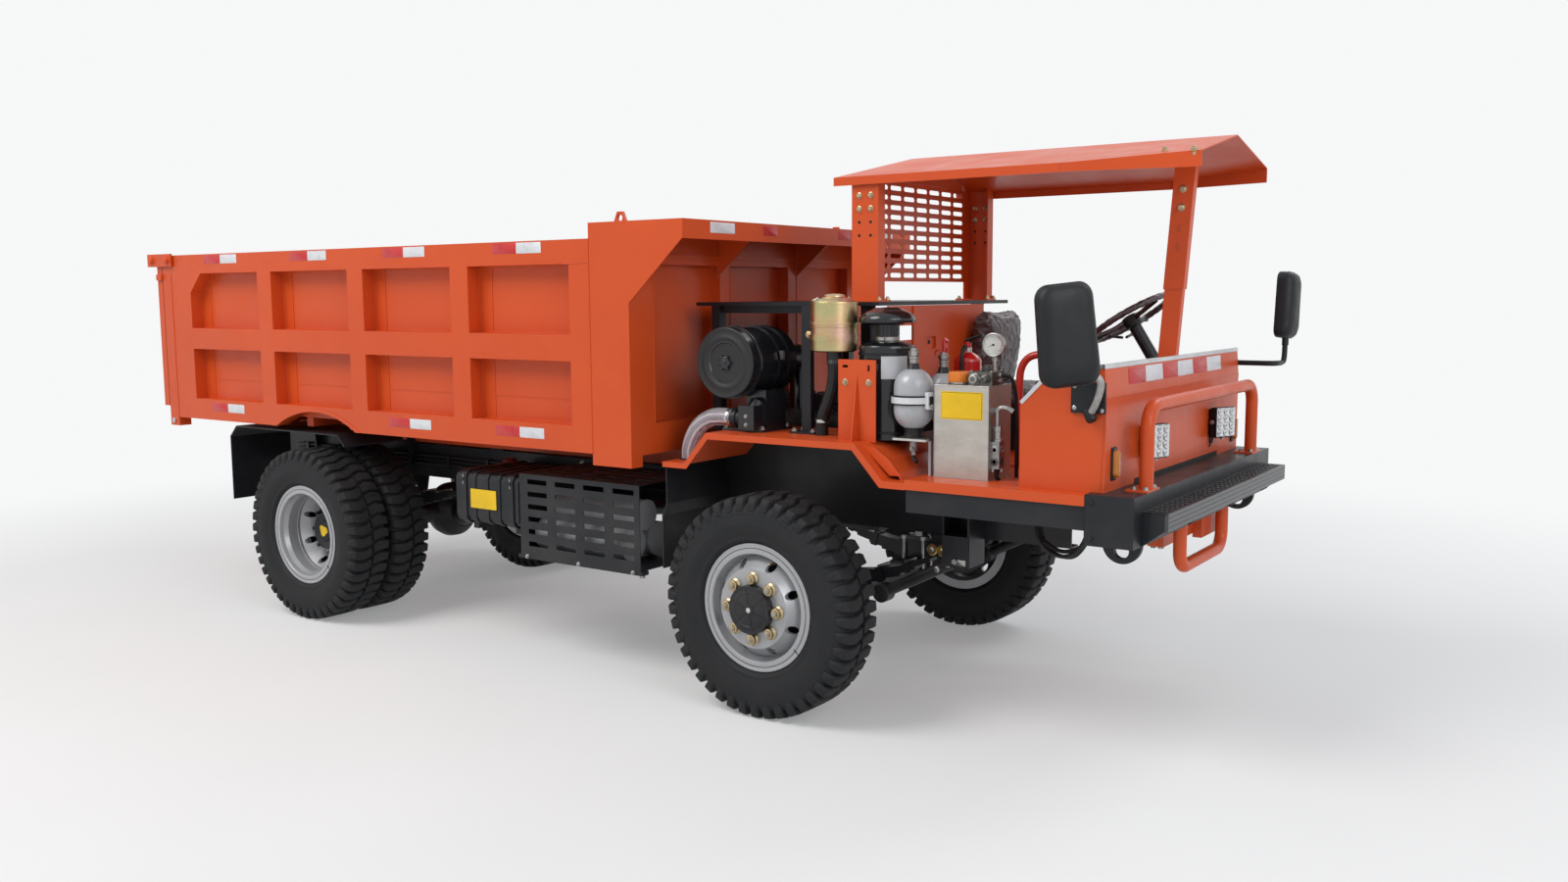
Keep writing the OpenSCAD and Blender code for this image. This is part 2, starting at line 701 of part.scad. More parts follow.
module front_bumper() color(black) on_axle() {
    difference() {
        block(bumper_x, [-bumper_half, bumper_half], [bumper_low, bumper_top]);
        block([bumper_x[0] - 1, bumper_x[1] - 8], [8 - bumper_half, bumper_half - 8],
            [bumper_low + 8, bumper_top - 8]);
    }
    for (y = [-step_half, -step_half / 3, step_half / 3 - 8, step_half - 8])
        plate_xz([[bumper_x[1] - 1, bumper_low], [bumper_x[1] + 1, bumper_low], [front_reach - 16, step_z[0]],
            [front_reach - 16, step_z[0] + 1], [bumper_x[1] - 1, step_z[0] + 1]], [y, y + 8]);
    difference() {
        block([bumper_x[1], front_reach], [-step_half, step_half], step_z);
        for (i = [0 : groove_n - 1])
            block([bumper_x[1] + 12 + i * 10, bumper_x[1] + 17 + i * 10], [-step_half - 1, step_half + 1],
                [step_z[1] - 6, step_z[1] + 1]);
    }
    both_sides() {
        difference() {
            rod_y(tow_x, bumper_low - 10, [tow_y - 12, tow_y + 12], 160);
            block([tow_x - 90, tow_x + 90], [tow_y - 13, tow_y + 13], [bumper_low + 1, bumper_top]);
            rod_y(tow_x, bumper_low - tow_drop, [tow_y - 13, tow_y + 13], 2 * tow_bore_r);
        }
    }
}

hoop_half = 733;
hoop_x = 4940;
step_hoop_half = 296;
hoop_d = 56;

module bull_bar() color(orange) on_axle() {
    hoop_tube(hoop_x, hoop_half, [bumper_top + 8, 1462], 90, hoop_d);
    both_sides() block([hoop_x - 60, bumper_x[1]], [hoop_half - 70, hoop_half + 70], [bumper_top,
        bumper_top + 8]);
    translate([0, 0, bumper_low]) mirror([0, 0, 1]) hoop_tube(hoop_x, step_hoop_half, [0, 190], 76, hoop_d);
    block([4790, 4860], [-270, 400], [818, bumper_low]);
    block([4859, 4900], [130, 400], [800, bumper_low]);
}

// Orange deck: raised fender decks, curved fairings and the low cab floor
deck_t = 6;
floor_edge = 42;
arch_half_in = 440;

module fender_deck() {
    y = [arch_half_in, deck_half];
    plate_xz([[cab_rear_x, sub_top], [cab_rear_x, sub_top + deck_t], [arch_x[0] - 3, sub_top + deck_t],
        [arch_x[1] - 3, deck_top], [arch_x[2] + 3, deck_top], [arch_x[3] + 3, sub_top + deck_t],
        [arch_x[4], sub_top + deck_t], [arch_x[4], sub_top], [arch_x[3], sub_top],
        [arch_x[2], deck_top - deck_t], [arch_x[1], deck_top - deck_t], [arch_x[0], sub_top]], y);
    // curved fairing over the deck's front slope
    plate_xz([[arch_x[2] - 20, deck_top - 3], [arch_x[2] + 10, deck_top - 2], [3798, 1243], [3868,
        1196], [3914, 1142],
        [3932, sub_top + 4], [3924, sub_top + 4], [3906, 1140], [3862, 1190], [3794, 1237],
        [arch_x[2], deck_top - 5]], [arch_half_in + 2, deck_half - 60]);
    // turned down edge of the raised deck
    plate_xz([[cab_rear_x, sub_top + 1], [cab_rear_x, sub_top - 20], [arch_x[0] + 8, sub_top - 20],
        [arch_x[1] + 8, deck_top - 30], [arch_x[2] - 8, deck_top - 30], [arch_x[3] - 12, sub_top - 24],
        [arch_x[4], sub_top - 24], [arch_x[4], sub_top + 1], [arch_x[3], sub_top + 1],
        [arch_x[2], deck_top - deck_t + 1], [arch_x[1], deck_top - deck_t + 1], [arch_x[0], sub_top + 1]],
        [deck_half - 6, deck_half]);
}

module deck() color(orange) on_axle() {
    both_sides() {
        fender_deck();
        block([arch_x[4], bumper_x[0]], [deck_half - 8, deck_half], [floor_top - floor_edge, floor_top]);
    }
    block([arch_x[4], bumper_x[0]], [8 - deck_half, deck_half - 8], [sub_top, floor_top]);
    block([panel_x, arch_x[4]], [-arch_half_in, arch_half_in], [sub_top, floor_top]);
    bracket_plate();
}

// Cowl: folded front panel and two side panels with sloping tops
cowl_t = 8;
cowl_side_x = 4470;

module cowl() color(orange) on_axle() {
    plate_xz([[cowl_front - cowl_t, bumper_top], [cowl_front, bumper_top], [cowl_front, cowl_top - 127],
        [cowl_front - 10, cowl_top], [cowl_front - cowl_t - 10, cowl_top],
        [cowl_front - cowl_t, cowl_top - 127]], [-cowl_half, cowl_half]);
    both_sides() plate_xz([[cowl_side_x, floor_top], [cowl_side_x, 1474], [4569, 1574],
        [cowl_front - cowl_t - 10, cowl_top], [cowl_front - cowl_t, cowl_top - 127],
        [cowl_front - cowl_t, bumper_top], [bumper_x[0], bumper_top], [bumper_x[0], floor_top]],
        [cowl_half - 8, cowl_half]);
}

// Cab: rear panel, seat, column and wheel
panel_x = 3640;
seat_y = 400;
seat_x = [3700, 4080];

module cab_rear_panel() color(orange) on_axle() {
    difference() {
        block([panel_x, panel_x + 12], [-300, arch_half_in - 10], [floor_top, cover_top - 22]);
        block([panel_x - 1, panel_x + 13], [-180, -80], [1640, 1700]);
        block([panel_x - 1, panel_x + 13], [-260, -60], [1200, 1500]);
    }
}

seat_half = 215;
seat_base_top = 1340;
seat_top = 1824;
seat_r = 60;
// How far the backrest's top leans behind its foot
seat_lean = 50;

module seat() color("rosybrown") on_axle() {
    block([seat_x[0] + 30, seat_x[1] - 30], [seat_y - 170, arch_half_in - 10], [floor_top, seat_base_top]);
    hull() for (x = [seat_x[0] + 55, seat_x[1] - 40], y = [seat_y - seat_half + 40, seat_y + seat_half - 40])
        translate([x, y, seat_base_top]) cylinder(r = 40, h = 90, $fn = 32);
    hull() for (row = [[1450, seat_lean], [seat_top - seat_r, 0]], side = [-1, 1])
        translate([panel_x + 20 + row[1], seat_y + side * (seat_half - seat_r), row[0]])
            rotate([0, 90, 0]) cylinder(r = seat_r, h = 96, $fn = 32);
}

column_top = [4460, seat_y, 1760];
column_lean = 32;
column_l = 420;
wheel_r = 210;

module along_column() {
    translate(column_top) rotate([0, -column_lean, 0]) children();
}

module steering_column() color(black) on_axle() {
    along_column() rod_z(0, 0, [-column_l, -24], 60);
    along_column() rod_z(0, 0, [-24, 20], 24);
    block([column_top[0] + 150, column_top[0] + 250], [seat_y - 60, seat_y + 60], [floor_top, 1430]);
    block([column_top[0] + 190, cowl_front - cowl_t], [seat_y - 200, seat_y + 200], [1400, 1500]);
}

module steering_wheel() color(black) on_axle() along_column() {
    difference() {
        rod_z(0, 0, [-20, 26], 84);
        rod_z(0, 0, [-21, 20.3], 24 + 2 * pin_gap);
    }
    rotate_extrude() translate([wheel_r, 26]) circle(d = 28);
    for (a = [90, 210, 330])
        rotate([0, 0, a]) rod_x(0, 12, [38, wheel_r], 18);
}

// Cover plate over the engine with its frame and posts
cover_x = [2580, 3640];
cover_y = [-600, 750];
cover_t = 18;
cover_posts = [[2690, -560], [2690, 640], [3556, -555], [3556, 555]];
mast = [3318, -700];
canister = [3490, -740];

module cover_plate() color(black) on_axle() {
    block(cover_x, cover_y, [cover_top - cover_t, cover_top]);
    // second channel under the near edge
    block([2730, 3380], [cover_y[0] + 30, cover_y[0] + 90], [cover_top - cover_t - 36, cover_top - cover_t]);
    // mast beside the canister, on its bolted foot
    block([mast[0] - 25, mast[0] + 25], [mast[1] - 15, mast[1] + 15], [deck_top, cover_top - cover_t]);
    block([mast[0] - 70, mast[0] + 70], [mast[1] - 55, mast[1] + 55], [deck_top, deck_top + 10]);
    block([mast[0] - 25, mast[0] + 25], [mast[1], cover_y[0] + 31], [cover_top - cover_t - 30,
        cover_top - cover_t]);
    for (p = cover_posts)
        block([p[0] - 25, p[0] + 25], [p[1] - 25, p[1] + 25],
            [p[0] < arch_x[0] ? sub_top + deck_t : deck_top, cover_top - cover_t]);
}

// Rear posts: two channels and a slotted screen between them
post_x = [3486, 3626];
post_half = 585;
post_w = 60;
post_t = 8;
screen_x = post_x[0] + 2;
screen_z = [1965, 2440];
slot_rows = 10;
slot_pitch = 46;
slot_cols = 8;

function roof_z(y) = ridge_top - roof_fall * abs(y) / roof_half;
function roof_under(y) = roof_z(y) - roof_t - seat_gap;

module rear_posts() color(orange) on_axle() {
    both_sides() {
        difference() {
            plate_yz([[post_half - post_w, cover_top], [post_half, cover_top],
                [post_half, roof_under(post_half)], [post_half - post_w,
                    roof_under(post_half - post_w)]], post_x);
            plate_yz([[post_half - post_w - 1, cover_top + 8], [post_half - post_t, cover_top + 8],
                [post_half - post_t, ridge_top], [post_half - post_w - 1, ridge_top]],
                [post_x[0] + post_t, post_x[1] - post_t]);
            for (x = [post_x[0] + 40, post_x[1] - 40], z = [2290, 2350, 2170, 2230])
                rod_y(x, z, [post_half - post_w, post_half + 1], 14);
        }
        block([post_x[0] - 30, post_x[1] + 14], [post_half - post_w - 30, post_half + 14],
            [cover_top, cover_top + 8]);
    }
    difference() {
        block([screen_x, screen_x + 4], [post_w - post_half, post_half - post_w], screen_z);
        for (i = [0 : slot_cols - 1], j = [0 : slot_rows - 1])
            slot((i - (slot_cols - 1) / 2) * 128, screen_z[0] + 30 + j * slot_pitch);
    }
}

module slot(y, z) {
    block([screen_x - 1, screen_x + 5], [y - 42, y + 42], [z - 11, z + 11]);
    for (side = [-1, 1])
        rod_x(y + side * 42, z, [screen_x - 1, screen_x + 5], 22);
}

// Front post: a telescopic post on the middle plane behind the cowl
// Station of its centre line at cowl height, and its lean per unit of height
front_post_at = [4770, 1640];
front_post_lean = 0.0732;
sleeve_low = 1918;
function post_x_at(z) = front_post_at[0] + (z - front_post_at[1]) * front_post_lean;

module leaning_bar(z, half_x, half_y) {
    plate_xz([[post_x_at(z[0]) - half_x, z[0]], [post_x_at(z[0]) + half_x, z[0]],
        [post_x_at(z[1]) + half_x, z[1]], [post_x_at(z[1]) - half_x, z[1]]], [-half_y, half_y]);
}

module front_post() color(orange) on_axle() {
    leaning_bar([floor_top, sleeve_low + 1], 40, 19);
    difference() {
        leaning_bar([sleeve_low, ridge_top + 10], 45, 22.5);
        plate_yz([[-60, roof_under(60)], [0, roof_under(0)], [60, roof_under(60)],
            [60, ridge_top + 20], [-60, ridge_top + 20]], [4600, 5000]);
    }
}

// Canopy roof: two slopes, turned down eaves, front corners drawn in
roof_x = [3400, 5040];
roof_ridge_rear = 3470;
roof_bend_x = 4560;
roof_front_half = 480;
roof_t = 5;
eave_h = 38;

module roof_slope() {
    intersection() {
        plate_yz([[0, ridge_top], [roof_half, ridge_top - roof_fall],
            [roof_half, ridge_top - roof_fall - eave_h], [roof_half - roof_t, ridge_top - roof_fall - eave_h],
            [roof_half - roof_t, roof_z(roof_half - roof_t) - roof_t], [0, ridge_top - roof_t]], roof_x);
        linear_extrude(ridge_top + 10) polygon([[roof_ridge_rear, 0], [roof_x[0], roof_half],
            [roof_bend_x, roof_half],
            [roof_x[1], roof_front_half], [roof_x[1], 0]]);
    }
    // eave along the drawn in corner
    difference() {
        linear_extrude(ridge_top + 10) polygon([[roof_bend_x, roof_half], [roof_x[1], roof_front_half],
            [roof_x[1], roof_front_half - roof_t], [roof_bend_x, roof_half - roof_t]]);
        block([roof_x[0], roof_x[1] + 1], [0, roof_half + 1], [-1, ridge_top - roof_fall - eave_h]);
        plate_yz([[0, ridge_top - 0.5], [roof_half + 1, ridge_top - roof_fall - 0.5], [roof_half + 1,
            ridge_top + 20],
            [0, ridge_top + 20]], [roof_x[0], roof_x[1] + 1]);
    }
}

module canopy_roof() color(orange) on_axle() both_sides() roof_slope();

// Things on the right hand raised deck
cleaner_x = 2950;
cleaner_z = 1589;
cleaner_y = [-850, -490];
cleaner_d = 334;
outlet_d = 120;
outlet_y = 215;
outlet_low = 1330;

module air_cleaner() color(black) on_axle() {
    difference() {
        union() {
            rod_y(cleaner_x, cleaner_z, cleaner_y, cleaner_d - 8);
            rod_y(cleaner_x, cleaner_z, [cleaner_y[0], cleaner_y[0] + 56], cleaner_d);
        }
        translate([cleaner_x, cleaner_y[0] - 1, cleaner_z]) rotate([-90, 0, 0])
            cylinder(d1 = 190, d2 = 150, h = 26);
    }
    rod_y(cleaner_x, cleaner_z, [cleaner_y[0] + 14, cleaner_y[0] + 45], 56);
    for (y = [-640, -560])
        rod_y(cleaner_x, cleaner_z, [y, y + 14], cleaner_d + 6);
    translate([cleaner_x, cleaner_y[1], cleaner_z]) rotate([-90, 0, 0]) cylinder(d1 = 280, d2 = 130, h = 80);
    block([cleaner_x - 60, cleaner_x + 180], [-800, -560], [deck_top, deck_top + 12]);
    block([cleaner_x + 60, cleaner_x + 170], [-760, -600], [deck_top + 12, cleaner_z - 130]);
    block([cleaner_x + 70, cleaner_x + 160], [-845, -760], [deck_top + 12, 1390]);
    rod_x(hose_y, 1326, [hose_start, cleaner_x + 72], 72);
    // outlet pipe that turns down to the engine
    rod_y(cleaner_x, cleaner_z, [cleaner_y[1] + 80, -outlet_y], outlet_d);
    translate([cleaner_x, -outlet_y, cleaner_z]) sphere(d = outlet_d + 3);
    rod_z(cleaner_x, -outlet_y, [outlet_low, cleaner_z], outlet_d);
}

// Clear hose from the cleaner's stub down past the deck's rear edge
hose_y = -800;
hose_start = 2958;
hose_points = [[hose_start, hose_y, 1326], [2900, hose_y, 1326], [2838, hose_y, 1321], [2784, hose_y, 1299],
    [2738, hose_y, 1262], [2706, hose_y, 1210], [2688, hose_y, 1160], [2688, hose_y, sub_top + deck_t]];
hose_d = 80;
breather_points = [[canister[0], canister[1], 1590], [canister[0], canister[1], 1540],
    [canister[0] - 10, canister[1], 1480], [canister[0] - 32, canister[1], 1420],
    [canister[0] - 58, canister[1], 1360], [canister[0] - 69, canister[1], 1310],
    [canister[0] - 69, canister[1], deck_top]];

module intake_hose() color("lightgray") on_axle() {
    hull_chain(hose_points, hose_d);
    hull_chain(breather_points, 60);
}

// A tube through points: rings of 12 corners swept along the route
function unit(v) = v / norm(v);
function heading(p, i) = unit(p[min(i + 1, len(p) - 1)] - p[max(i - 1, 0)]);
module hull_chain(p, d) {
    n = 12;
    rings = [for (i = [0 : len(p) - 1])
        let (t = heading(p, i), s = [0, 1, 0], u = cross(t, s))
            for (k = [0 : n - 1]) p[i] + d / 2 * (cos(k * 360 / n) * s + sin(k * 360 / n) * u)];
    sides = [for (i = [0 : len(p) - 2], k = [0 : n - 1])
        [i * n + k, i * n + (k + 1) % n, (i + 1) * n + (k + 1) % n, (i + 1) * n + k]];
    first = [for (k = [0 : n - 1]) n - 1 - k];
    last = [for (k = [0 : n - 1]) (len(p) - 1) * n + k];
    polyhedron(rings, concat(sides, [first, last]));
}

// Oil bath canister on its mast, and the orange bracket

module oil_bath() color("goldenrod") on_axle() {
    rod_z(canister[0], canister[1], [1654, 1770], 214);
    rod_z(canister[0], canister[1], [1770, 1782], 224);
    rod_z(canister[0], canister[1], [1782, 1872], 216);
    translate([canister[0], canister[1], 1872]) cylinder(d1 = 150, d2 = 90, h = 26);
    block([mast[0] + 25, canister[0] - 60], [mast[1] - 10, mast[1] + 10], [1700, 1740]);
    rod_z(canister[0], canister[1], [1590, 1654], 70);
    rod_z(canister[0], canister[1], [1700, 1726], 222);
}

filter = [3722, -664];
filter_d = 250;

module intake_filter() color(black) on_axle() {
    rod_z(filter[0], filter[1], [deck_top, 1664], filter_d);
    translate([filter[0], filter[1], 1664]) cylinder(d1 = filter_d, d2 = 150, h = 30);
    for (z = [1290, 1636])
        rod_z(filter[0], filter[1], [z, z + 12], filter_d + 6);
    rod_z(filter[0], filter[1], [1694, 1770], 104);
    translate([filter[0], filter[1], 1770]) cylinder(d1 = 150, d2 = 228, h = 20);
    translate([filter[0], filter[1], 1790]) cylinder(d = 228, h = 22);
    translate([filter[0], filter[1], 1812]) cylinder(d1 = 228, d2 = 110, h = 33);
}

module bracket_plate() {
    y = [105 - deck_half, 111 - deck_half];
    difference() {
        block([3578, 3770], y, [deck_top - 4, 1620]);
        for (x = [3614, 3734])
            rod_y(x, 1520, [y[0] - 1, y[1] + 1], 16);
        block([3600, 3628], [y[0] - 1, y[1] + 1], [1584, 1596]);
        block([3728, 3740], [y[0] - 1, y[1] + 1], [1570, 1598]);
    }
    plate_yz([[y[0] + 1, deck_top - 4], [y[0] + 1, 1560], [y[0] - 50, deck_top - 4]], [3671, 3677]);
}

// Accumulators: an egg-shaped shell with its valve, band and foot: x, y, base height, radius
accumulator_table = [[3915, -767, 1318, 86], [3935, -530, 1318, 72]];

// Height of the shells' straight middle, and of the shelf that they stand on
shell_mid = 98;
shelf_top = 1288;

module accumulators() color("gainsboro") on_axle() {
    for (a = accumulator_table)
        translate([a[0], a[1], a[2]]) {
            rotate_extrude() intersection() {
                union() {
                    translate([0, a[3]]) circle(r = a[3]);
                    translate([-a[3], a[3]]) square([2 * a[3], shell_mid]);
                    translate([0, a[3] + shell_mid]) circle(r = a[3]);
                }
                square([a[3] + 1, 400]);
            }
            rod_z(0, 0, [a[3] + 30, a[3] + 62], 2 * a[3] + 12);
            rod_z(0, 0, [2 * a[3] + shell_mid - 10, 2 * a[3] + shell_mid + 52], 36);
            rod_z(0, 0, [2 * a[3] + shell_mid + 52, 2 * a[3] + shell_mid + 82], 24);
            rod_z(0, 0, [shelf_top - a[2], 16], 64);
        }
    // shelf on its two legs, with the fittings under it
    block([3858, 4020], [-850, -450], [shelf_top - 10, shelf_top]);
    for (y = [-780, -470])
        block([3996, 4008], [y, y + 20], [floor_top, shelf_top - 10]);
    for (a = accumulator_table) {
        rod_z(a[0], a[1], [shelf_top - 56, shelf_top - 9], 30);
        rod_z(a[0], a[1], [shelf_top - 80, shelf_top - 56], 20);
    }
}

tank_x = [4034, 4289];
tank_y = [-800, -586];
tank_top = 1520;

module oil_tank() color(silver) on_axle() {
    block(tank_x, tank_y, [floor_top, tank_top]);
    rod_z(4108, -706, [tank_top, tank_top + 10], 96);
    rod_z(4108, -706, [tank_top + 10, tank_top + 48], 84);
    block([4176, 4284], [-760, -650], [tank_top, tank_top + 58]);
    rod_y(4206, tank_top + 28, [-786, -760], 40);
    rod_y(4254, tank_top + 28, [-778, -760], 30);
    rod_z(4262, -690, [tank_top + 58, 1646], 14);
    rod_y(4262, 1690, [-706, -676], 92);
    block([tank_x[1], tank_x[1] + 42], [-784, -734], [1176, 1290]);
    rod_z(tank_x[1] + 22, -759, [1290, 1356], 30);
    rod_z(tank_x[1] + 22, -759, [1356, 1420], 18);
    rod_x(-759, 1414, [tank_x[1], tank_x[1] + 30], 18);
}

module extinguisher() color("crimson") on_axle() {
    rod_z(3860, -150, [floor_top, 1590], 130);
    translate([3860, -150, 1590]) cylinder(d1 = 130, d2 = 50, h = 40);
    rod_z(3860, -150, [1630, 1680], 34);
}

// Lamps on the cowl: work lamps and side markers
module lamps() color("gold") on_axle() both_sides() {
    block([cowl_front + 30, cowl_front + 76], [400, 526], [1230, 1370]);
    block([cowl_front, cowl_front + 30], [440, 486], [1262, 1300]);
    block([cowl_front, cowl_front + 30], [775, 825], [1177, 1297]);
}

// Mirrors: head, arm and bracket
module mirror_head(x, y, z) {
    r = 44;
    hull() {
        for (yy = [y[0] + r, y[1] - r], zz = [z[0] + r, z[1] - r])
            rod_x(yy, zz, [x[0], x[0] + 46], 2 * r);
        for (yy = [y[0] + 66, y[1] - 66], zz = [z[0] + 70, z[1] - 70])
            rod_x(yy, zz, [x[1] - 10, x[1]], 2 * r);
    }
}

module mirror_right() color(black) on_axle() {
    mirror_head([4664, 4776], [-1150, -905], [1536, 1945]);
    block([4690, 4829], [-899, -cowl_half], [1440, 1560]);
    block([4700, 4740], [-930, -899], [1500, 1552]);
    rod_y(4720, 1556, [-1000, -893], 22);
}

module mirror_left() color(black) on_axle() {
    mirror_head([4974, 5060], [960, 1150], [1673, 2004]);
    rod_x(cowl_half + 11, 1555, [4740, 5000], 22);
    translate([5000, cowl_half + 11, 1555]) sphere(d = 25);
    rod_y(5000, 1555, [cowl_half + 11, 1050], 22);
    translate([5000, 1050, 1555]) sphere(d = 25);
    rod_z(5000, 1050, [1555, 1690], 22);
    block([4744, 4776], [cowl_half, cowl_half + 24], [1530, 1580]);
}

// Rear mudguards, fuel tank, side guard and air tanks
module mudguards() color(black) on_axle() both_sides() {
    plate_xz([[-850, 640], [-850, 1040], [-780, 1110], [240, 1110], [300, 1050], [300, 1038], [237, 1103],
        [-776, 1103], [-842, 1037], [-842, 640]], [620, 1040]);
    for (x = [-780, 170])
        plate_yz([[rail_half, rail_top - 120], [rail_half, 1103], [980, 1103], [980, 1090],
            [rail_half + 60, 1060],
            [rail_half + 40, rail_top - 120]], [x, x + 10]);
}

fuel_x = [1155, 1640];
side_y = [-950, -500];

fuel_ribs = [1290, 1390, 1480];
fuel_straps = [1196, 1560];

module tank_shell(x, grow) {
    y = [side_y[0] - grow, side_y[1]];
    z = [680 - grow, 960 + grow];
    plate_yz([[y[0], z[0] + 36], [y[0] + 14, z[0] + 12], [y[0] + 40, z[0]], [y[1], z[0]], [y[1], z[1]],
        [y[0] + 40, z[1]], [y[0] + 14, z[1] - 12], [y[0], z[1] - 36]], x);
}

module fuel_tank() color(black) on_axle() {
    tank_shell(fuel_x, 0);
    for (x = fuel_ribs)
        tank_shell([x, x + 24], 5);
    for (x = fuel_straps)
        tank_shell([x, x + 46], 8);
    for (x = [1230, 1560])
        block([x, x + 40], [-900, -rail_half], [640, 680]);
    for (x = [1230, 1560])
        block([x, x + 40], [side_y[1], -rail_half], [680, 860]);
}

guard_x = [1654, 2490];
guard_z = [550, 980];

module side_guard() color(black) on_axle() {
    difference() {
        block(guard_x, [side_y[0] - 4, side_y[0]], guard_z);
        for (i = [0 : 3], j = [0 : 5])
            block([guard_x[0] + 60 + i * 200, guard_x[0] + 200 + i * 200], [side_y[0] - 5, side_y[0] + 1],
                [guard_z[0] + 48 + j * 66, guard_z[0] + 74 + j * 66]);
    }
    difference() {
        block(guard_x, [side_y[0], -rail_half], [guard_z[1] - 4, guard_z[1]]);
        for (i = [0 : 3], j = [0 : 4])
            block([guard_x[0] + 60 + i * 200, guard_x[0] + 200 + i * 200], [side_y[0] + 50 + j * 90,
                side_y[0] + 76 + j * 90],
                [guard_z[1] - 5, guard_z[1] + 1]);
    }
    block([guard_x[0] - 20, guard_x[1] + 10], [side_y[0] - 4, side_y[0] + 46], [guard_z[0] - 20, guard_z[0]]);
    block([guard_x[0], guard_x[0] + 4], [side_y[0], -rail_half], [guard_z[0], guard_z[1] - 4]);
    block([guard_x[0] + 4, guard_x[1]], [side_y[0], -rail_half], [guard_z[0], guard_z[0] + 6]);
}

module air_tanks() color(silver) on_axle() {
    for (y = [-820, -620])
        rod_x(y, guard_z[0] + 100, [guard_x[0] + 60, guard_x[1] - 160], 180);
    rod_x(-720, guard_z[0] + 237, [guard_x[0] + 60, guard_x[1] - 160], 160);
    for (x = [guard_x[0] + 140, guard_x[1] - 260])
        block([x, x + 30], [-880, -560], [guard_z[0] + 6, guard_z[0] + 60]);
}

// Bed
bed_pitch = 868;
panel_w = 730;
first_panel = -1190;
wall_in = bed_half - rib_depth - bed_sheet;
mid_rail = [1584, 1716];
top_rail_low = 2061;
low_rail_top = 1266;
front_post_w = 253;
rear_post_w = 100;
post_low = bed_low - 56;
front_top = bed_top + 75;
// Cut over the rear wheels: station, rise above the lower edge, radius
arch_at = 50;
arch_rise = 100;
arch_r = 772;

module bed_floor() color(orange) on_axle() {
    block([bed_rear + 6, bed_front - 70], [-wall_in, wall_in], [bed_floor_low, bed_floor_low + 10]);
    for (i = [0 : 9])
        block([-1380 + i * 410, -1320 + i * 410], [-wall_in, wall_in], [bed_floor_low - 55, bed_floor_low]);
    both_sides() difference() {
        union() {
            block([-bed_pivot_back, beam_front], [beam_y - beam_w / 2, beam_y + beam_w / 2],
                [beam_low, bed_floor_low - 55]);
            rod_y(-bed_pivot_back, bed_pivot_z, [beam_y - beam_w / 2, beam_y + beam_w / 2], pivot_eye_d);
        }
        rod_y(-bed_pivot_back, bed_pivot_z, [beam_y - beam_w, beam_y + beam_w], pivot_pin_d + 2 * pin_gap);
    }
    // cheeks for the hoist's head
    for (y = [-cheek_y - 14, cheek_y]) {
        plate_xz([[hoist_head[0] - 100, bed_floor_low], [hoist_head[0] + 100, bed_floor_low],
            [hoist_head[0] + 38, hoist_head[1]], [hoist_head[0] - 38, hoist_head[1]]], [y, y + 14]);
        rod_y(hoist_head[0], hoist_head[1], [y, y + 14], 76);
    }
    both_sides() rod_y(hoist_head[0], hoist_head[1], [cheek_y + 14, cheek_y + 26], 46);
}

module bed_side() {
    out = bed_half;
    sheet = [bed_half - rib_depth - bed_sheet, bed_half - rib_depth];
    difference() {
        block([bed_rear, bed_front], [sheet[0], out], [bed_low, bed_top]);
        for (i = [0 : 3], row = [[low_rail_top, mid_rail[0]], [mid_rail[1], top_rail_low]])
            block([first_panel + i * bed_pitch, first_panel + i * bed_pitch + panel_w], [sheet[1],
                out + 1], row);
        // cut over the rear wheels
        rod_y(arch_at, bed_low + arch_rise - arch_r, [sheet[0] - 1, out + 1], 2 * arch_r);
    }
    // lip round the wheel cut, on the rail's face
    intersection() {
        difference() {
            rod_y(arch_at, bed_low + arch_rise - arch_r, [out - 6, out + 4], 2 * arch_r + 44);
            rod_y(arch_at, bed_low + arch_rise - arch_r, [out - 7, out + 5], 2 * arch_r);
        }
        block([arch_at - 420, arch_at + 420], [out - 6, out + 4], [bed_low, low_rail_top]);
    }
    // gusset in the upper rear corner
    plate_xz([[first_panel, top_rail_low], [first_panel + 120, top_rail_low], [first_panel,
        top_rail_low - 120]],
        [sheet[1], out]);
    // posts that reach below the rail and above it
    block([bed_rear, bed_rear + rear_post_w], [sheet[1], out], [post_low, bed_low]);
    block([bed_front - front_post_w, bed_front], [sheet[1], out], [post_low, bed_low]);
    block([bed_front - front_post_w, bed_front], [sheet[0], out], [bed_top, front_top]);
    rod_y(gate_pin[0], gate_pin[1], [out - 10, out + side_gap + gate_arm_t + 8], gate_pin_d);
    lifting_eye();
}

// Eye on the front post's inner face
eye_x = 2410;
eye_rise = 22;
eye_bore = 34;
eye_t = 14;

module lifting_eye() {
    difference() {
        plate_xz([[eye_x - 40, front_top - 60], [eye_x - 40, front_top], [eye_x - 18, front_top + 52],
            [eye_x + 18, front_top + 52], [eye_x + 40, front_top], [eye_x + 40, front_top - 60]],
            [wall_in - eye_t, wall_in + 1]);
        rod_y(eye_x, front_top + eye_rise, [wall_in - eye_t - 1, wall_in + 2], eye_bore);
    }
}

module bed_side_right() color(orange) on_axle() mirror([0, 1, 0]) bed_side();
module bed_side_left() color(orange) on_axle() bed_side();

lip_front = 2867;

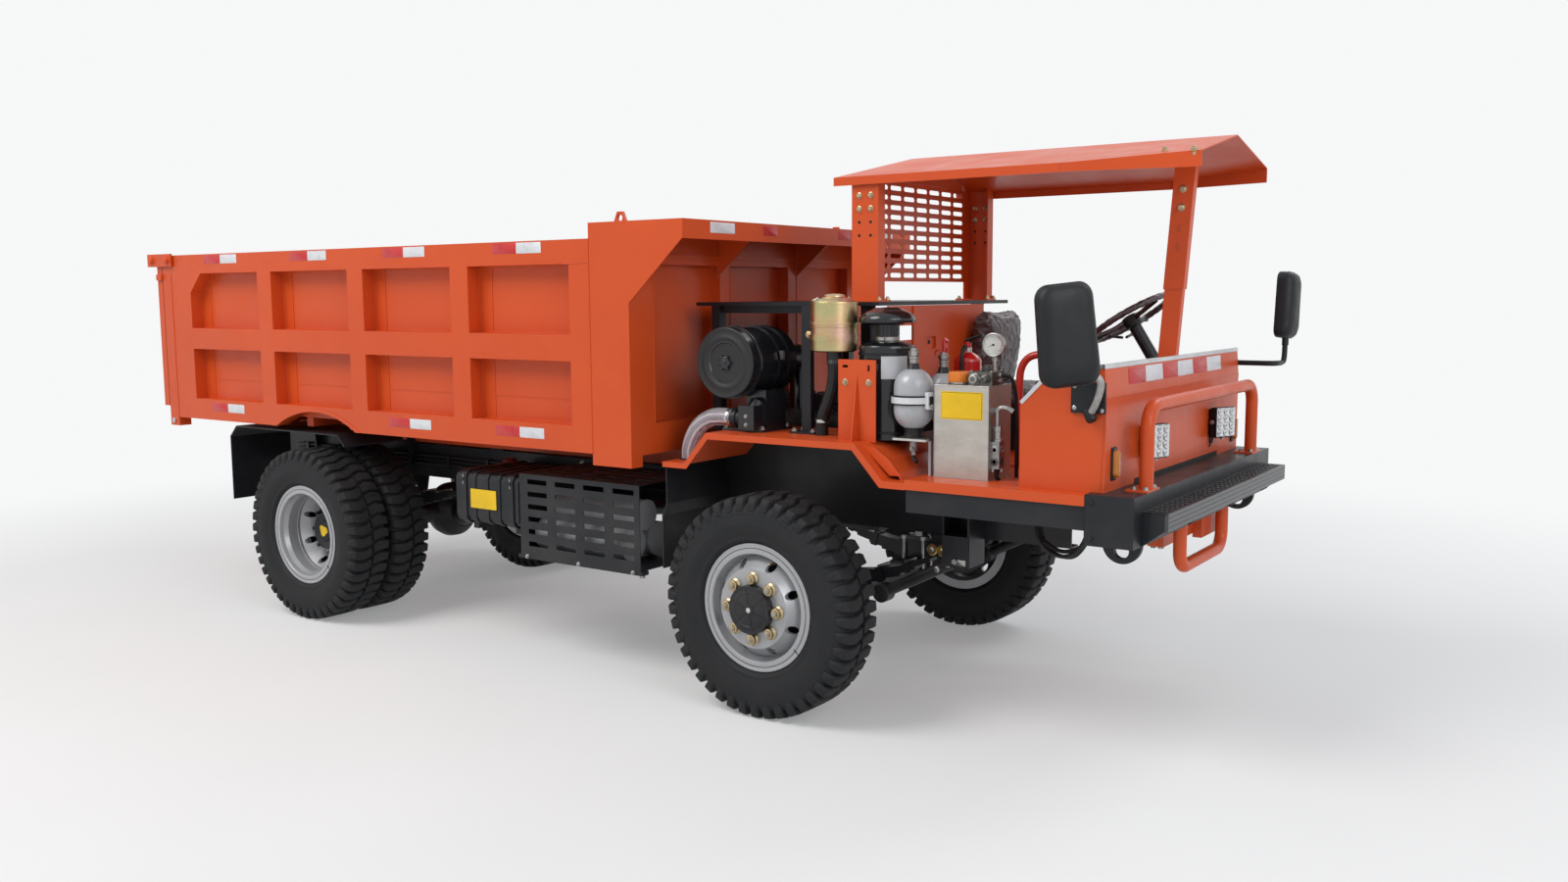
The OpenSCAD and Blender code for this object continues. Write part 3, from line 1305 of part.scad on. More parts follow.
module bed_headboard() color(orange) on_axle() {
    difference() {
        block([bed_front - 70, bed_front], [-wall_in, wall_in], [bed_floor_low - 55, front_top]);
        for (i = [0 : 2])
            block([bed_front - 64, bed_front + 1], [-wall_in + 90 + i * 615, -wall_in + 90 + i * 615 + 530],
                [bed_low + 150, front_top - 200]);
    }
    block([bed_front, lip_front], [-bed_half, bed_half], [front_top - 8, front_top]);
    // small gussets under the lip, band under the top and lifting eyes
    for (y = [-360, 352])
        plate_xz([[bed_front, front_top - 8], [lip_front - 40, front_top - 8], [bed_front, front_top - 250]],
            [y, y + 8]);
    block([bed_front, bed_front + 12], [-bed_half + 8, bed_half - 8], [front_top - 170, front_top - 150]);
    block([lip_front - 6, lip_front], [-bed_half, bed_half], [front_top - 90, front_top - 8]);
    both_sides() plate_xz([[bed_front, front_top - 8], [lip_front - 6, front_top - 8], [lip_front - 6,
        front_top - 90],
        [bed_front, front_top - 385]], [bed_half - 8, bed_half]);
}

gate_x = [bed_rear - 62, bed_rear - 6];
gate_arm_t = 14;
gate_pin_d = 36;
gate_pin = [-1410, 2150];
gate_low = 1206;

module tailgate() color(orange) on_axle() {
    difference() {
        block(gate_x, [-bed_half, bed_half], [gate_low, gate_pin[1] - 5]);
        for (i = [0 : 4], row = [[gate_low + 100, 1640], [1720, 2060]])
            block([gate_x[0] - 1, gate_x[1] - 8], [-bed_half + 60 + i * 405, -bed_half + 420 + i * 405], row);
    }
    both_sides() {
        difference() {
            block([-rear_reach, gate_pin[0] + 40], [bed_half + side_gap, bed_half + side_gap + gate_arm_t],
                [gate_pin[1] - 40, gate_pin[1] + 40]);
            rod_y(gate_pin[0], gate_pin[1], [bed_half, bed_half + 100], gate_pin_d + 2 * pin_gap);
        }
        block([-rear_reach, gate_x[0]], [bed_half - 60, bed_half + side_gap + gate_arm_t],
            [gate_pin[1] - 40, gate_pin[1] + 30]);
    }
}

chassis_frame();
cab_frame();
front_bumper();
bull_bar();
front_axle();
rear_axle();
leaf_springs();
drive_shaft();
engine();
mudguards();
fuel_tank();
side_guard();
air_tanks();
deck();
cowl();
cab_rear_panel();
seat();
steering_column();
steering_wheel();
cover_plate();
rear_posts();
front_post();
canopy_roof();
air_cleaner();
intake_hose();
oil_bath();
intake_filter();
accumulators();
oil_tank();
extinguisher();
lamps();
mirror_right();
mirror_left();
knuckle_right();
knuckle_left();
tie_rod();
rim_front_right();
rim_front_left();
rims_rear_right();
rims_rear_left();
tyre_front_right();
tyre_front_left();
tyres_rear_right();
tyres_rear_left();
bed_floor();
bed_side_right();
bed_side_left();
bed_headboard();
tailgate();
hoist_barrel();
hoist_sleeve();
hoist_rod();
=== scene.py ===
from math import asin, cos, pi, radians, sin, sqrt

import bmesh
import bpy
import numpy as np
from mathutils import Euler, Matrix, Vector
from mathutils.noise import noise as value_noise
from mathutils.noise import noise_vector


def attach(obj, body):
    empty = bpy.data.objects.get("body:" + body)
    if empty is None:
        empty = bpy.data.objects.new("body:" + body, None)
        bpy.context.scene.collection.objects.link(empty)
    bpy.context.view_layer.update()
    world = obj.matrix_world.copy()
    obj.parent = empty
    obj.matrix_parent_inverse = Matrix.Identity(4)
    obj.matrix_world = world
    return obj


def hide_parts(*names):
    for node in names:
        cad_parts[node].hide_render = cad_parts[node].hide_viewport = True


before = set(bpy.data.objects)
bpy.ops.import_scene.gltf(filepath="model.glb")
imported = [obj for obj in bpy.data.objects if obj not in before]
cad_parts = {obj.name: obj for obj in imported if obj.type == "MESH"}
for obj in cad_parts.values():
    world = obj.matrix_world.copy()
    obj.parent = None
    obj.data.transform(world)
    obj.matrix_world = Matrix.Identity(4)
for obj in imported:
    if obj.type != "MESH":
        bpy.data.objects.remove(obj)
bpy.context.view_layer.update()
rng = np.random.default_rng(7)
scene = bpy.context.scene

# Sizes are the source's millimetres: station in front of the rear axle, row to the left, height
FRONT_AXLE = 3294
HUB_Z = 509
ORIGIN_STATION = 1716.0
WHEEL_FACE = {FRONT_AXLE: 1111, 0: 908}
BED_SIDE, BED_SHEET = 1050, 970
POST_FOOT_Z, DECK_Z, PANEL_TOP = 1878, 1124, 1851
ROOF_EDGE, ROOF_RIDGE_Z, ROOF_FALL = 605, 2565, 130
# Directions: to the front, to the truck's left, up
X, Y, Z = (Vector(v) for v in ((1, 0, 0), (0, 1, 0), (0, 0, 1)))
NOWHERE = Vector()
DUST = (0.42, 0.38, 0.33)
BRIGHT = (0.93, 0.935, 0.94)
SOOT = (0.013, 0.014, 0.016)


def P(station, row, height):
    """A place in the source's millimetres, as metres in the frame."""
    return Vector(((station - ORIGIN_STATION) / 1000, row / 1000, height / 1000))


def put_in_scene(name, data):
    o = bpy.data.objects.new(name, data)
    scene.collection.objects.link(o)
    return o


def darker(color, share):
    return tuple(c * share for c in color)


class Shader:
    """A node tree, with short calls for the nodes that the materials use."""

    def __init__(self, tree):
        self.tree = tree
        self.main = tree.nodes.get("Principled BSDF")

    def put(self, socket, value):
        """Links an output, or sets a number, vector or colour, on a socket or on one of the main shader's."""
        if isinstance(socket, str):
            socket = self.main.inputs[socket]
        if isinstance(value, bpy.types.NodeSocket):
            self.tree.links.new(value, socket)
        elif socket.type == "RGBA":
            socket.default_value = (*value, 1.0)
        else:
            socket.default_value = value

    def node(self, kind, **inputs):
        n = self.tree.nodes.new("ShaderNode" + kind)
        for name, value in inputs.items():
            self.put(n.inputs[name.replace("_", " ")], value)
        return n

    def place(self):
        found = [n for n in self.tree.nodes if n.type == "TEX_COORD"]
        return (found[0] if found else self.node("TexCoord")).outputs["Object"]

    def xyz(self):
        return self.node("SeparateXYZ", Vector=self.place()).outputs

    def stretched(self, scale):
        return self.node("Mapping", Scale=scale, Vector=self.place()).outputs["Vector"]

    def noise(self, scale, detail=4, rough=0.6, at=None, distortion=0.0):
        return self.node("TexNoise", Scale=scale, Detail=detail, Roughness=rough, Distortion=distortion,
                         Vector=at or self.place()).outputs["Fac"]

    def ramp(self, value, low, high, first=0.0, last=1.0):
        return self.node("MapRange", Value=value, From_Min=low, From_Max=high, To_Min=first,
                         To_Max=last).outputs["Result"]

    def mix(self, share, a, b, kind="RGBA"):
        n = self.tree.nodes.new("ShaderNodeMix")
        n.data_type = kind
        first, out = (6, 2) if kind == "RGBA" else (2, 0)
        for i, value in ((0, share), (first, a), (first + 1, b)):
            self.put(n.inputs[i], value)
        return n.outputs[out]

    def maths(self, operation, *values):
        n = self.tree.nodes.new("ShaderNodeMath")
        n.operation = operation
        for socket, value in zip(n.inputs, values):
            self.put(socket, value)
        return n.outputs[0]

    def times(self, a, b):
        return self.maths("MULTIPLY", a, b)

    def length(self, a, b):
        return self.maths("SQRT", self.maths("ADD", self.times(a, a), self.times(b, b)))

    def bump(self, height, strength, distance=0.001):
        n = self.node("Bump", Strength=strength, Distance=distance, Height=height)
        self.put("Normal", n.outputs["Normal"])

    def where(self, *tests):
        """One where every test holds; a test is an output, > or <, and its limit."""
        out = None
        for value, sign, limit in tests:
            holds = self.maths("GREATER_THAN" if sign == ">" else "LESS_THAN", value, limit)
            out = holds if out is None else self.times(out, holds)
        return out

    def mask(self, where, color, metallic=None, rough=None):
        """Another colour, and another finish where one is given, where the test is one."""
        cloudy = self.mix(self.ramp(self.noise(60), 0.3, 0.75), color, darker(color, 0.72))
        for name, new, kind in (("Base Color", cloudy, "RGBA"), ("Metallic", metallic, "FLOAT"),
                                ("Roughness", rough, "FLOAT")):
            if new is not None:
                socket = self.main.inputs[name]
                old = socket.links[0].from_socket if socket.links else socket.default_value
                self.put(socket, self.mix(where, old, new, kind))

    def seen_directly(self):
        """One for rays from the camera and through or off shiny surfaces, zero for the rest of the light."""
        rays = self.node("LightPath").outputs
        seen = self.maths("MAXIMUM", rays["Is Camera Ray"], rays["Is Transmission Ray"])
        return self.maths("MAXIMUM", seen, rays["Is Glossy Ray"])


def material(name):
    m = bpy.data.materials.new(name)
    m.use_nodes = True
    s = Shader(m.node_tree)
    s.material = m
    return s


# Materials


def paint(name, color, dark, rough=0.32, coat=0.25, dust=0.25, peel=0.06, shine=0.5):
    """Sprayed enamel, with dust that grows towards the ground and in patches."""
    s = material(name)
    s.put("Specular IOR Level", shine)
    tone = s.mix(s.ramp(s.noise(1.4, 5), 0.35, 0.7), color, dark)
    height = s.ramp(s.xyz()[2], 0.25, 1.3, 1.0, 0.0)
    patch = s.ramp(s.noise(3.2, 6, 0.65), 0.42, 0.75)
    s.put("Base Color", s.mix(s.times(s.times(height, patch), dust), tone, DUST))
    s.put("Roughness", s.ramp(s.noise(5, 5), 0.3, 0.75, rough - 0.05, rough + 0.13))
    s.put("Coat Weight", coat)
    s.put("Coat Roughness", 0.12)
    s.bump(s.noise(260, 2, 0.5), peel)
    return s


def metal(name, color, rough, grain, dark=None):
    s = material(name)
    g = s.noise(1.0, 5, 0.65, s.stretched(grain))
    s.put("Base Color", s.mix(s.ramp(g, 0.3, 0.75), color, dark or darker(color, 0.72)))
    s.put("Metallic", 1.0)
    s.put("Roughness", s.ramp(g, 0.2, 0.8, rough - 0.06, rough + 0.14))
    s.bump(g, 0.08)
    return s


def rubber(name, color, dust):
    s = material(name)
    s.put("Specular IOR Level", 0.3)
    patch = s.ramp(s.noise(9, 8, 0.7), 0.42, 0.72)
    s.put("Base Color", s.mix(s.times(patch, 0.30), color, dust))
    s.put("Roughness", s.ramp(patch, 0.0, 1.0, 0.62, 0.9))
    s.bump(s.noise(320), 0.18, 0.0012)
    return s


def plastic(name, color, rough=0.4, coat=0.0, grain=220, strength=0.08, **sockets):
    s = material(name)
    s.put("Specular IOR Level", 0.32)
    s.put("Base Color", s.mix(s.ramp(s.noise(6, 5), 0.35, 0.7), color, darker(color, 0.8)))
    s.put("Roughness", s.ramp(s.noise(14), 0.3, 0.7, rough - 0.06, rough + 0.1))
    s.put("Coat Weight", coat)
    for socket, value in sockets.items():
        s.put(socket.replace("_", " "), value)
    s.bump(s.noise(grain, 3), strength)
    return s


def tape(name, color, bright):
    """Reflective sheeting with its honeycomb sheen."""
    s = material(name)
    cell = s.ramp(s.node("TexVoronoi", Scale=240, Vector=s.place()).outputs["Distance"], 0.1, 0.6)
    patch = s.ramp(s.noise(12), 0.35, 0.7)
    s.put("Base Color", s.mix(s.times(cell, patch), color, bright))
    s.put("Roughness", s.ramp(patch, 0, 1, 0.26, 0.42))
    s.put("Metallic", 0.15)
    s.bump(cell, 0.08)
    return s


def film(name, color, light):
    """Wrinkled plastic film over dark padding."""
    s = material(name)
    g = s.noise(1.0, 6, 0.6, s.stretched((14, 22, 5)), 1.4)
    crease = s.ramp(s.maths("ABSOLUTE", s.maths("SUBTRACT", g, 0.5)), 0.0, 0.035, 1.0, 0.0)
    cloud = s.ramp(s.noise(11, 5), 0.35, 0.75)
    tone = s.maths("MAXIMUM", s.times(crease, 0.55), s.times(cloud, 0.35))
    s.put("Base Color", s.mix(tone, color, light))
    s.put("Roughness", s.ramp(cloud, 0, 1, 0.34, 0.48))
    s.put("Coat Weight", 0.22)
    s.put("Coat Roughness", 0.2)
    s.bump(s.maths("ADD", g, s.times(crease, 0.3)), 0.30, 0.006)
    return s


# Paints: colour, darker tone, roughness, coat, dust, orange peel, shine
ORANGE = paint("orange_paint", (0.62, 0.080, 0.014), (0.57, 0.069, 0.012), 0.36, 0.08, 0.10, 0.06, 0.30)
BLACK = paint("black_paint", (0.0105, 0.0115, 0.0145), (0.015, 0.016, 0.0195), 0.38, 0.08, 0.10, 0.06, 0.26)
BUMPER = paint("bumper_paint", (0.0105, 0.0112, 0.0138), (0.0145, 0.0155, 0.0185), 0.38, 0.06, 0.12,
               shine=0.28)
GLOSS = paint("gloss_black", (0.008, 0.009, 0.0115), (0.012, 0.013, 0.016), 0.20, 0.35, 0.04, 0.06, 0.35)
SATIN = paint("satin_black", (0.016, 0.0165, 0.018), (0.022, 0.0225, 0.024), 0.5, 0.0, 0.06, 0.06, 0.35)
CAST = paint("cast_grey", (0.075, 0.078, 0.082), (0.045, 0.045, 0.047), 0.6, 0.0, 0.35, 0.3)
RUST = paint("manifold_rust", (0.11, 0.055, 0.032), (0.07, 0.04, 0.03), 0.8, 0.0, 0.3, 0.4)
RED = paint("red_paint", (0.50, 0.012, 0.012), (0.42, 0.010, 0.010), 0.22, 0.5, 0.05)
PALE = paint("grey_enamel", (0.60, 0.61, 0.63), (0.50, 0.51, 0.53), 0.28, 0.4, 0.08)
SHELLS = paint("accumulator_enamel", (0.42, 0.435, 0.46), (0.36, 0.37, 0.39), 0.28, 0.35, 0.06)
RIMS = [paint(name, (0.42, 0.425, 0.44), (0.36, 0.365, 0.38), 0.36, 0.15, 0.06, 0.05)
        for name in ("rim_silver", "front_rim_silver", "rear_rim_silver")]
for rim in RIMS:
    rim.put("Metallic", 0.45)
RIM, FRONT_RIM, REAR_RIM = RIMS

# Metals: colour, roughness, stretch of the grain, darker tone
TANK = metal("tank_stainless", (0.52, 0.495, 0.455), 0.44, (9, 9, 16), (0.40, 0.375, 0.34))
STEEL = metal("bright_steel", (0.62, 0.62, 0.61), 0.26, (30, 30, 30))
DULL = metal("zinc_fittings", (0.42, 0.415, 0.40), 0.38, (40, 40, 40), (0.26, 0.255, 0.245))
DARK_STEEL = metal("dark_steel", (0.13, 0.125, 0.115), 0.38, (20, 20, 20))
CHROME = metal("chrome", (0.74, 0.75, 0.77), 0.06, (2, 2, 6))
TRIM = metal("aluminium_trim", (0.66, 0.67, 0.69), 0.30, (6, 6, 6))
BRASS = metal("brass", (0.72, 0.50, 0.20), 0.28, (20, 20, 20))
GOLD = metal("passivated_zinc", (0.50, 0.41, 0.26), 0.32, (24, 24, 24), (0.36, 0.29, 0.18))
REFLECTOR = metal("lamp_reflector", (0.70, 0.71, 0.73), 0.16, (40, 40, 40))
ZINC = metal("iridescent_zinc", (0.59, 0.42, 0.23), 0.30, (5, 5, 8))

# Rubber, plastics, enamelled small things, tapes and film: colour, roughness, coat
RUBBER = rubber("tyre_rubber", (0.0105, 0.0112, 0.0128), (0.052, 0.051, 0.051))
HOSE_BLACK = plastic("hose_rubber", (0.013, 0.013, 0.014), 0.5, grain=300, strength=0.15)
PLASTIC = plastic("black_plastic", (0.0085, 0.0095, 0.012), 0.46, grain=420, strength=0.2)
HOSES = plastic("hose_pair", (0.013, 0.013, 0.014), 0.46)
RED_RAIL = plastic("red_rail", (0.52, 0.035, 0.022), 0.32, 0.3)
# Red-brown for a cap, and for the painted shade round the front post's holes
RED_BROWN = plastic("red_cap_and_painted_hole_shade", (0.20, 0.022, 0.016), 0.45)
YELLOW = plastic("yellow_plate", (0.88, 0.56, 0.012), 0.42, 0.1)
CAP_ORANGE = plastic("orange_cap", (0.82, 0.22, 0.02), 0.38, 0.2)
LABEL_WHITE = plastic("white_label", (0.62, 0.63, 0.65), 0.38, 0.3)
DIAL = plastic("dial_face", (0.78, 0.76, 0.70), 0.5)
# Near-black for painted shade in holes, gaps and grooves, and for black print such as the gauge's marks
SHADE_AND_PRINT_BLACK = plastic("painted_shade_and_print_black", (0.006, 0.006, 0.007), 0.6)
GREY_STEP = plastic("step_pads", (0.022, 0.022, 0.024), 0.5)
WIRE = plastic("hose_wire", (0.62, 0.60, 0.64), 0.35, 0.4)
AMBER = plastic("amber_lens", (0.86, 0.30, 0.025), 0.16, 0.6, Transmission_Weight=0.25)
LENS = plastic("clear_lens", (0.93, 0.94, 0.95), 0.03, 0.0, 40, 0.01, Transmission_Weight=0.96, IOR=1.12)
TAPE_RED = tape("tape_red", (0.50, 0.018, 0.022), (0.58, 0.05, 0.045))
TAPE_WHITE = tape("tape_white", (0.62, 0.63, 0.66), (0.74, 0.75, 0.77))
WRAP = film("seat_wrap", (0.052, 0.036, 0.040), (0.12, 0.088, 0.096))

# Rims: black drums and hub caps, gold studs on the front wheels
INNER_BLACK = (0.02, 0.02, 0.021)
for s, axle in ((FRONT_RIM, FRONT_AXLE), (REAR_RIM, 0)):
    x, y, z = s.xyz()
    centre = P(axle, 0, HUB_Z)
    r = s.length(s.maths("SUBTRACT", x, centre.x), s.maths("SUBTRACT", z, centre.z))
    row = s.maths("ABSOLUTE", y)
    face = WHEEL_FACE[axle] / 1000 + 0.0002
    if axle:
        s.mask(s.where((r, ">", 0.114), (r, "<", 0.162), (row, ">", face)), (0.44, 0.37, 0.26), 1.0, 0.30)
        s.mask(s.where((r, "<", 0.1115), (row, ">", 1.0985)), SOOT, 0.0, 0.35)
        s.mask(s.where((r, "<", 0.2025), (row, "<", 1.0)), INNER_BLACK, 0.0, 0.5)
    else:
        s.mask(s.where((r, "<", 0.166), (row, ">", face)), SOOT, 0.0, 0.4)
        s.mask(s.where((r, "<", 0.2075), (row, "<", 0.80)), INNER_BLACK, 0.0, 0.5)

# Hoses in one node: a clear one with its coil at the back, a black one on the canister
x, y = HOSES.xyz()[:2]
back = (x, "<", 1.384)
coil = (HOSES.maths("SINE", HOSES.times(y, 420.0)), ">", 0.45)
HOSES.mask(HOSES.where(back), (0.23, 0.20, 0.225), rough=0.14)
HOSES.mask(HOSES.where(back, coil), (0.62, 0.60, 0.63), rough=0.2)

# Oil tank: dark valve block and bright fittings on brushed stainless sheet
x, _, z = TANK.xyz()
TANK.mask(TANK.where((z, ">", 1.5205), (z, "<", 1.5785), (x, ">", 2.458)), (0.16, 0.155, 0.14), 1.0, 0.38)
TANK.mask(TANK.where((x, ">", 2.5735)), (0.30, 0.30, 0.31), 0.9, 0.36)

# Accumulators: steel valves on enamelled shells, stainless shelf
z = SHELLS.xyz()[2]
SHELLS.mask(SHELLS.where((z, ">", 1.593)), (0.60, 0.61, 0.58), 1.0, 0.28)
SHELLS.mask(SHELLS.where((z, "<", 1.2895), (z, ">", 1.2775)), (0.60, 0.585, 0.55), 1.0, 0.3)

# Canister: yellow, green and rose of passivated zinc above a black foot
hue = ZINC.noise(7, 3, 0.5, distortion=0.8)
z = ZINC.xyz()[2]
ZINC.mask(ZINC.times(ZINC.ramp(hue, 0.54, 0.64), 0.55), (0.46, 0.52, 0.24))
ZINC.mask(ZINC.times(ZINC.ramp(hue, 0.36, 0.50, 1.0, 0.0), 0.85), (0.66, 0.42, 0.33))
ZINC.mask(ZINC.where((z, "<", 1.645)), (0.013, 0.0135, 0.015), 0.0, 0.5)

# Bumper: the step's front face is a paler grey
x = BUMPER.xyz()[0]
BUMPER.mask(BUMPER.where((x, ">", 3.3445)), (0.075, 0.076, 0.08), rough=0.32)

# The nodes' materials: by name, or by how the name starts, and orange for the rest
BY_NAME = {
    BLACK: "chassis_frame cab_frame front_axle rear_axle leaf_springs drive_shaft mudguards fuel_tank"
           " side_guard cover_plate knuckle_right knuckle_left tie_rod hoist_barrel steering_column",
    PLASTIC: "mirror_right mirror_left steering_wheel seat lamps",
    GLOSS: "air_cleaner intake_filter", CHROME: "hoist_sleeve hoist_rod", BUMPER: "front_bumper",
    ZINC: "oil_bath", RED: "extinguisher", TANK: "oil_tank", PALE: "air_tanks", SHELLS: "accumulators",
    HOSES: "intake_hose", CAST: "engine",
}
BY_START = {FRONT_RIM: "rim_front", REAR_RIM: "rims_rear", RUBBER: "tyre"}
for name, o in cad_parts.items():
    named = [m for m, names in BY_NAME.items() if name in names.split()]
    starts = [m for m, start in BY_START.items() if name.startswith(start)]
    o.data.materials.clear()
    o.data.materials.append((named + starts + [ORANGE])[0].material)

# Mesh code for the pieces


def unit(v):
    return Vector(v).normalized()


def across(axis):
    """Two directions at right angles to an axis and to each other."""
    a = unit(axis)
    u = (Z if abs(a.z) < 0.9 else X).cross(a).normalized()
    return u, a.cross(u)


def circle(at, u, w, r, n, turn=0.0):
    """n points round a place, that start at u and go towards w."""
    angles = [2 * pi * k / n + turn for k in range(n)]
    return [at + (u * cos(t) + w * sin(t)) * r for t in angles]


def smooth_path(points, steps=6):
    """A curve through the points, with its steps on each stretch."""
    p = [Vector(q) for q in points]
    q = [2 * p[0] - p[1]] + p + [2 * p[-1] - p[-2]]
    out = []
    for a, b, c, d in zip(q, q[1:], q[2:], q[3:]):
        for k in range(steps):
            t = k / steps
            out.append(0.5 * (2 * b + (c - a) * t + (2 * a - 5 * b + 4 * c - d) * t * t
                              + (3 * b - a - 3 * c + d) * t ** 3))
    return out + [p[-1]]


def rounded(w, h, r, n=4):
    """A rectangle's outline with round corners."""
    corners = ((1, 1), (-1, 1), (-1, -1), (1, -1))
    return [(i * (w / 2 - r) + r * cos(a), j * (h / 2 - r) + r * sin(a))
            for q, (i, j) in enumerate(corners) for a in [radians(90 * (q + k / n)) for k in range(n + 1)]]


def turned(points, angle, at=NOWHERE):
    """Points turned about the wheels' direction, which runs along Y through at."""
    c, s = cos(angle), sin(angle)
    return [(at[0] + x * c + z * s, at[1] + y, at[2] - x * s + z * c) for x, y, z in points]


class Build:
    """One piece, gathered from rings, bars, boxes and plates."""

    CUBE = [(0, 1, 3, 2), (4, 6, 7, 5), (0, 4, 5, 1), (2, 3, 7, 6), (0, 2, 6, 4), (1, 5, 7, 3)]

    def __init__(self, name, *mats):
        self.name, self.mats = name, mats
        self.v, self.f, self.m = [], [], []

    def add(self, verts, faces, mat=0):
        k = len(self.v)
        self.v += [tuple(v) for v in verts]
        self.f += [tuple(i + k for i in f) for f in faces]
        self.m += [mat] * len(faces)

    def rings(self, rings, mat=0, closed=False):
        n, rows = len(rings[0]), len(rings)
        faces = []
        for i in range(rows if closed else rows - 1):
            a, b = i * n, (i + 1) % rows * n
            faces += [(a + k, a + (k + 1) % n, b + (k + 1) % n, b + k) for k in range(n)]
        if not closed:
            faces += [tuple(range(n)), tuple((rows - 1) * n + k for k in range(n))]
        self.add([p for r in rings for p in r], faces, mat)

    def box(self, x, y, z, mat=0, angle=0.0, at=NOWHERE):
        """A box between two stations, rows and heights, which may be turned about at."""
        corners = [(i, j, k) for i in x for j in y for k in z]
        self.add(turned(corners, angle, at), self.CUBE, mat)

    def slab(self, at, u, v, w, outline, depths, mat=0):
        """An outline in the plane of u and v, at two or more depths along w."""
        at = Vector(at)
        self.rings([[at + u * i + v * k + w * d for i, k in outline] for d in depths], mat)

    def oblong(self, at, d, w, size, mat=0):
        """A box whose length runs along d and whose width runs along w."""
        length, i, k = (s / 2 for s in size)
        d = unit(d)
        self.slab(at, w, d.cross(w), d, [(-i, -k), (i, -k), (i, k), (-i, k)], (-length, length), mat)

    def lathe(self, at, axis, profile, n=24, mat=0, turn=0.0, closed=False):
        """A turned piece; profile: distance along the axis, radius."""
        u, w = across(axis)
        at, a = Vector(at), unit(axis)
        self.rings([circle(at + a * t, u, w, max(r, 0.05), n, turn) for t, r in profile], mat, closed)

    def plug(self, at, axis, t0, t1, r, t2, r2, n=6, mat=0, turn=0.0):
        """A nut, plug or foot: its radius is r from t0 to t1, and r2 at t2."""
        self.lathe(at, axis, [(t0, r), (t1, r), (t2, r2)], n, mat, turn)

    def band(self, at, axis, half, r, proud, n, mat=0):
        """A band round something of radius r, with an edge of 1 mm."""
        self.lathe(at, axis, [(-half, r), (1 - half, r + proud), (half - 1, r + proud), (half, r)], n, mat)

    def bar(self, a, b, r, n=12, mat=0, r2=None):
        d = Vector(b) - Vector(a)
        self.lathe(a, d, [(0, r), (d.length, r if r2 is None else r2)], n, mat)

    def tube(self, points, r, n=10, mat=0, steps=6):
        p = smooth_path(points, steps) if steps > 1 else [Vector(q) for q in points]
        u, rings = None, []
        for i, q in enumerate(p):
            t = (p[min(i + 1, len(p) - 1)] - p[max(i - 1, 0)]).normalized()
            u = u or across(t)[0]
            u = (u - t * u.dot(t)).normalized()
            rings.append(circle(q, u, t.cross(u), r, n))
        self.rings(rings, mat)

    def torus(self, at, axis, big, small, n=48, m=8, mat=0):
        u, w = across(axis)
        at, a = Vector(at), unit(axis)
        spokes = circle(NOWHERE, u, w, 1, n)
        self.rings([circle(at + d * big, d, a, small, m) for d in spokes], mat, closed=True)

    def plate(self, at, u, v, w, h, t, mat=0, r=3.0):
        """A rounded plate: its centre on the surface, directions of width and height, thickness outward."""
        at, u, v = Vector(at), unit(u), unit(v)
        n = u.cross(v)
        out = rounded(w, h, min(r, w / 2 - 0.1, h / 2 - 0.1))
        inner = [(x * (1 - 1.2 * t / w), y * (1 - 1.2 * t / h)) for x, y in out]
        self.rings([[at + u * x + v * y + n * d for x, y in o]
                    for d, o in ((-0.4, out), (t * 0.6, out), (t, inner))], mat)

    def bolt(self, at, axis, d=16, mat=0, reach=0.0):
        """Washer, hexagon head with its chamfer, and a stud's end when reach is given."""
        self.plug(at, axis, -1, 1.6, d * 1.02, 2.2, d * 0.96, 20, mat)
        t, k = 2.0, d * 0.6
        self.plug(at, axis, t, t + k * 0.85, d * 0.82, t + k, d * 0.70, 6, mat, float(rng.uniform(0, 1)))
        if reach:
            self.plug(at, axis, t, t + k + reach * 0.8, d * 0.5, t + k + reach, d * 0.4, 12, mat)

    def swing(self, first, at, angle):
        """Turns all points from the first one on about an upright line through at."""
        c, s = cos(angle), sin(angle)
        for i in range(first, len(self.v)):
            dx, dy = self.v[i][0] - at[0], self.v[i][1] - at[1]
            self.v[i] = (at[0] + dx * c - dy * s, at[1] + dx * s + dy * c, self.v[i][2])

    def done(self, body="truck", replaces=()):
        mesh = bpy.data.meshes.new(self.name)
        mesh.from_pydata([P(*v) for v in self.v], [], self.f)
        mesh.polygons.foreach_set("material_index", self.m)
        for s in self.mats:
            mesh.materials.append(s.material)
        bm = bmesh.new()
        bm.from_mesh(mesh)
        bmesh.ops.recalc_face_normals(bm, faces=bm.faces)
        bm.to_mesh(mesh)
        bm.free()
        mesh.polygons.foreach_set("use_smooth", [True] * len(mesh.polygons))
        mesh.set_sharp_from_angle(angle=radians(38))
        o = put_in_scene(self.name, mesh)
        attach(o, body)
        if replaces:
            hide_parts(*replaces)
        return o


# Tyres: a turned carcass with its sidewall rings, and two rows of lugs that reach down the shoulder

# Half of the carcass: row from the middle, radius
HALF = [(88, 254.5), (90.5, 292.9), (99, 297.5), (106, 302), (111, 306), (115.5, 313), (117, 318), (116, 323),
        (118, 330), (122.5, 344), (126.5, 362), (128.6, 378), (129.4, 383), (129.2, 388), (128.4, 392),
        (128.8, 402), (128.2, 416), (127.0, 421), (127.4, 427), (126.2, 436), (122.5, 450), (116.5, 463),
        (107, 474), (92, 483), (70, 487.5), (40, 489), (12, 489)]
BEAD = [(70, 246), (-70, 246)]
LUG_N = 44
# One lug's sections from the middle to the sidewall: foot, top, half width, shift along the tread
LUG = [((6, 484), (8, 509), 24, 12), ((30, 484), (31, 509), 27, 3), ((50, 484), (50, 509), 28, -5),
       ((86, 480), (91, 508), 27, -2), ((103, 470), (114, 503), 24, 1), ((110, 458), (125.5, 486), 22, 2),
       ((117, 446), (129.3, 464), 19, 2), ((119, 438), (127.6, 444), 15, 2)]
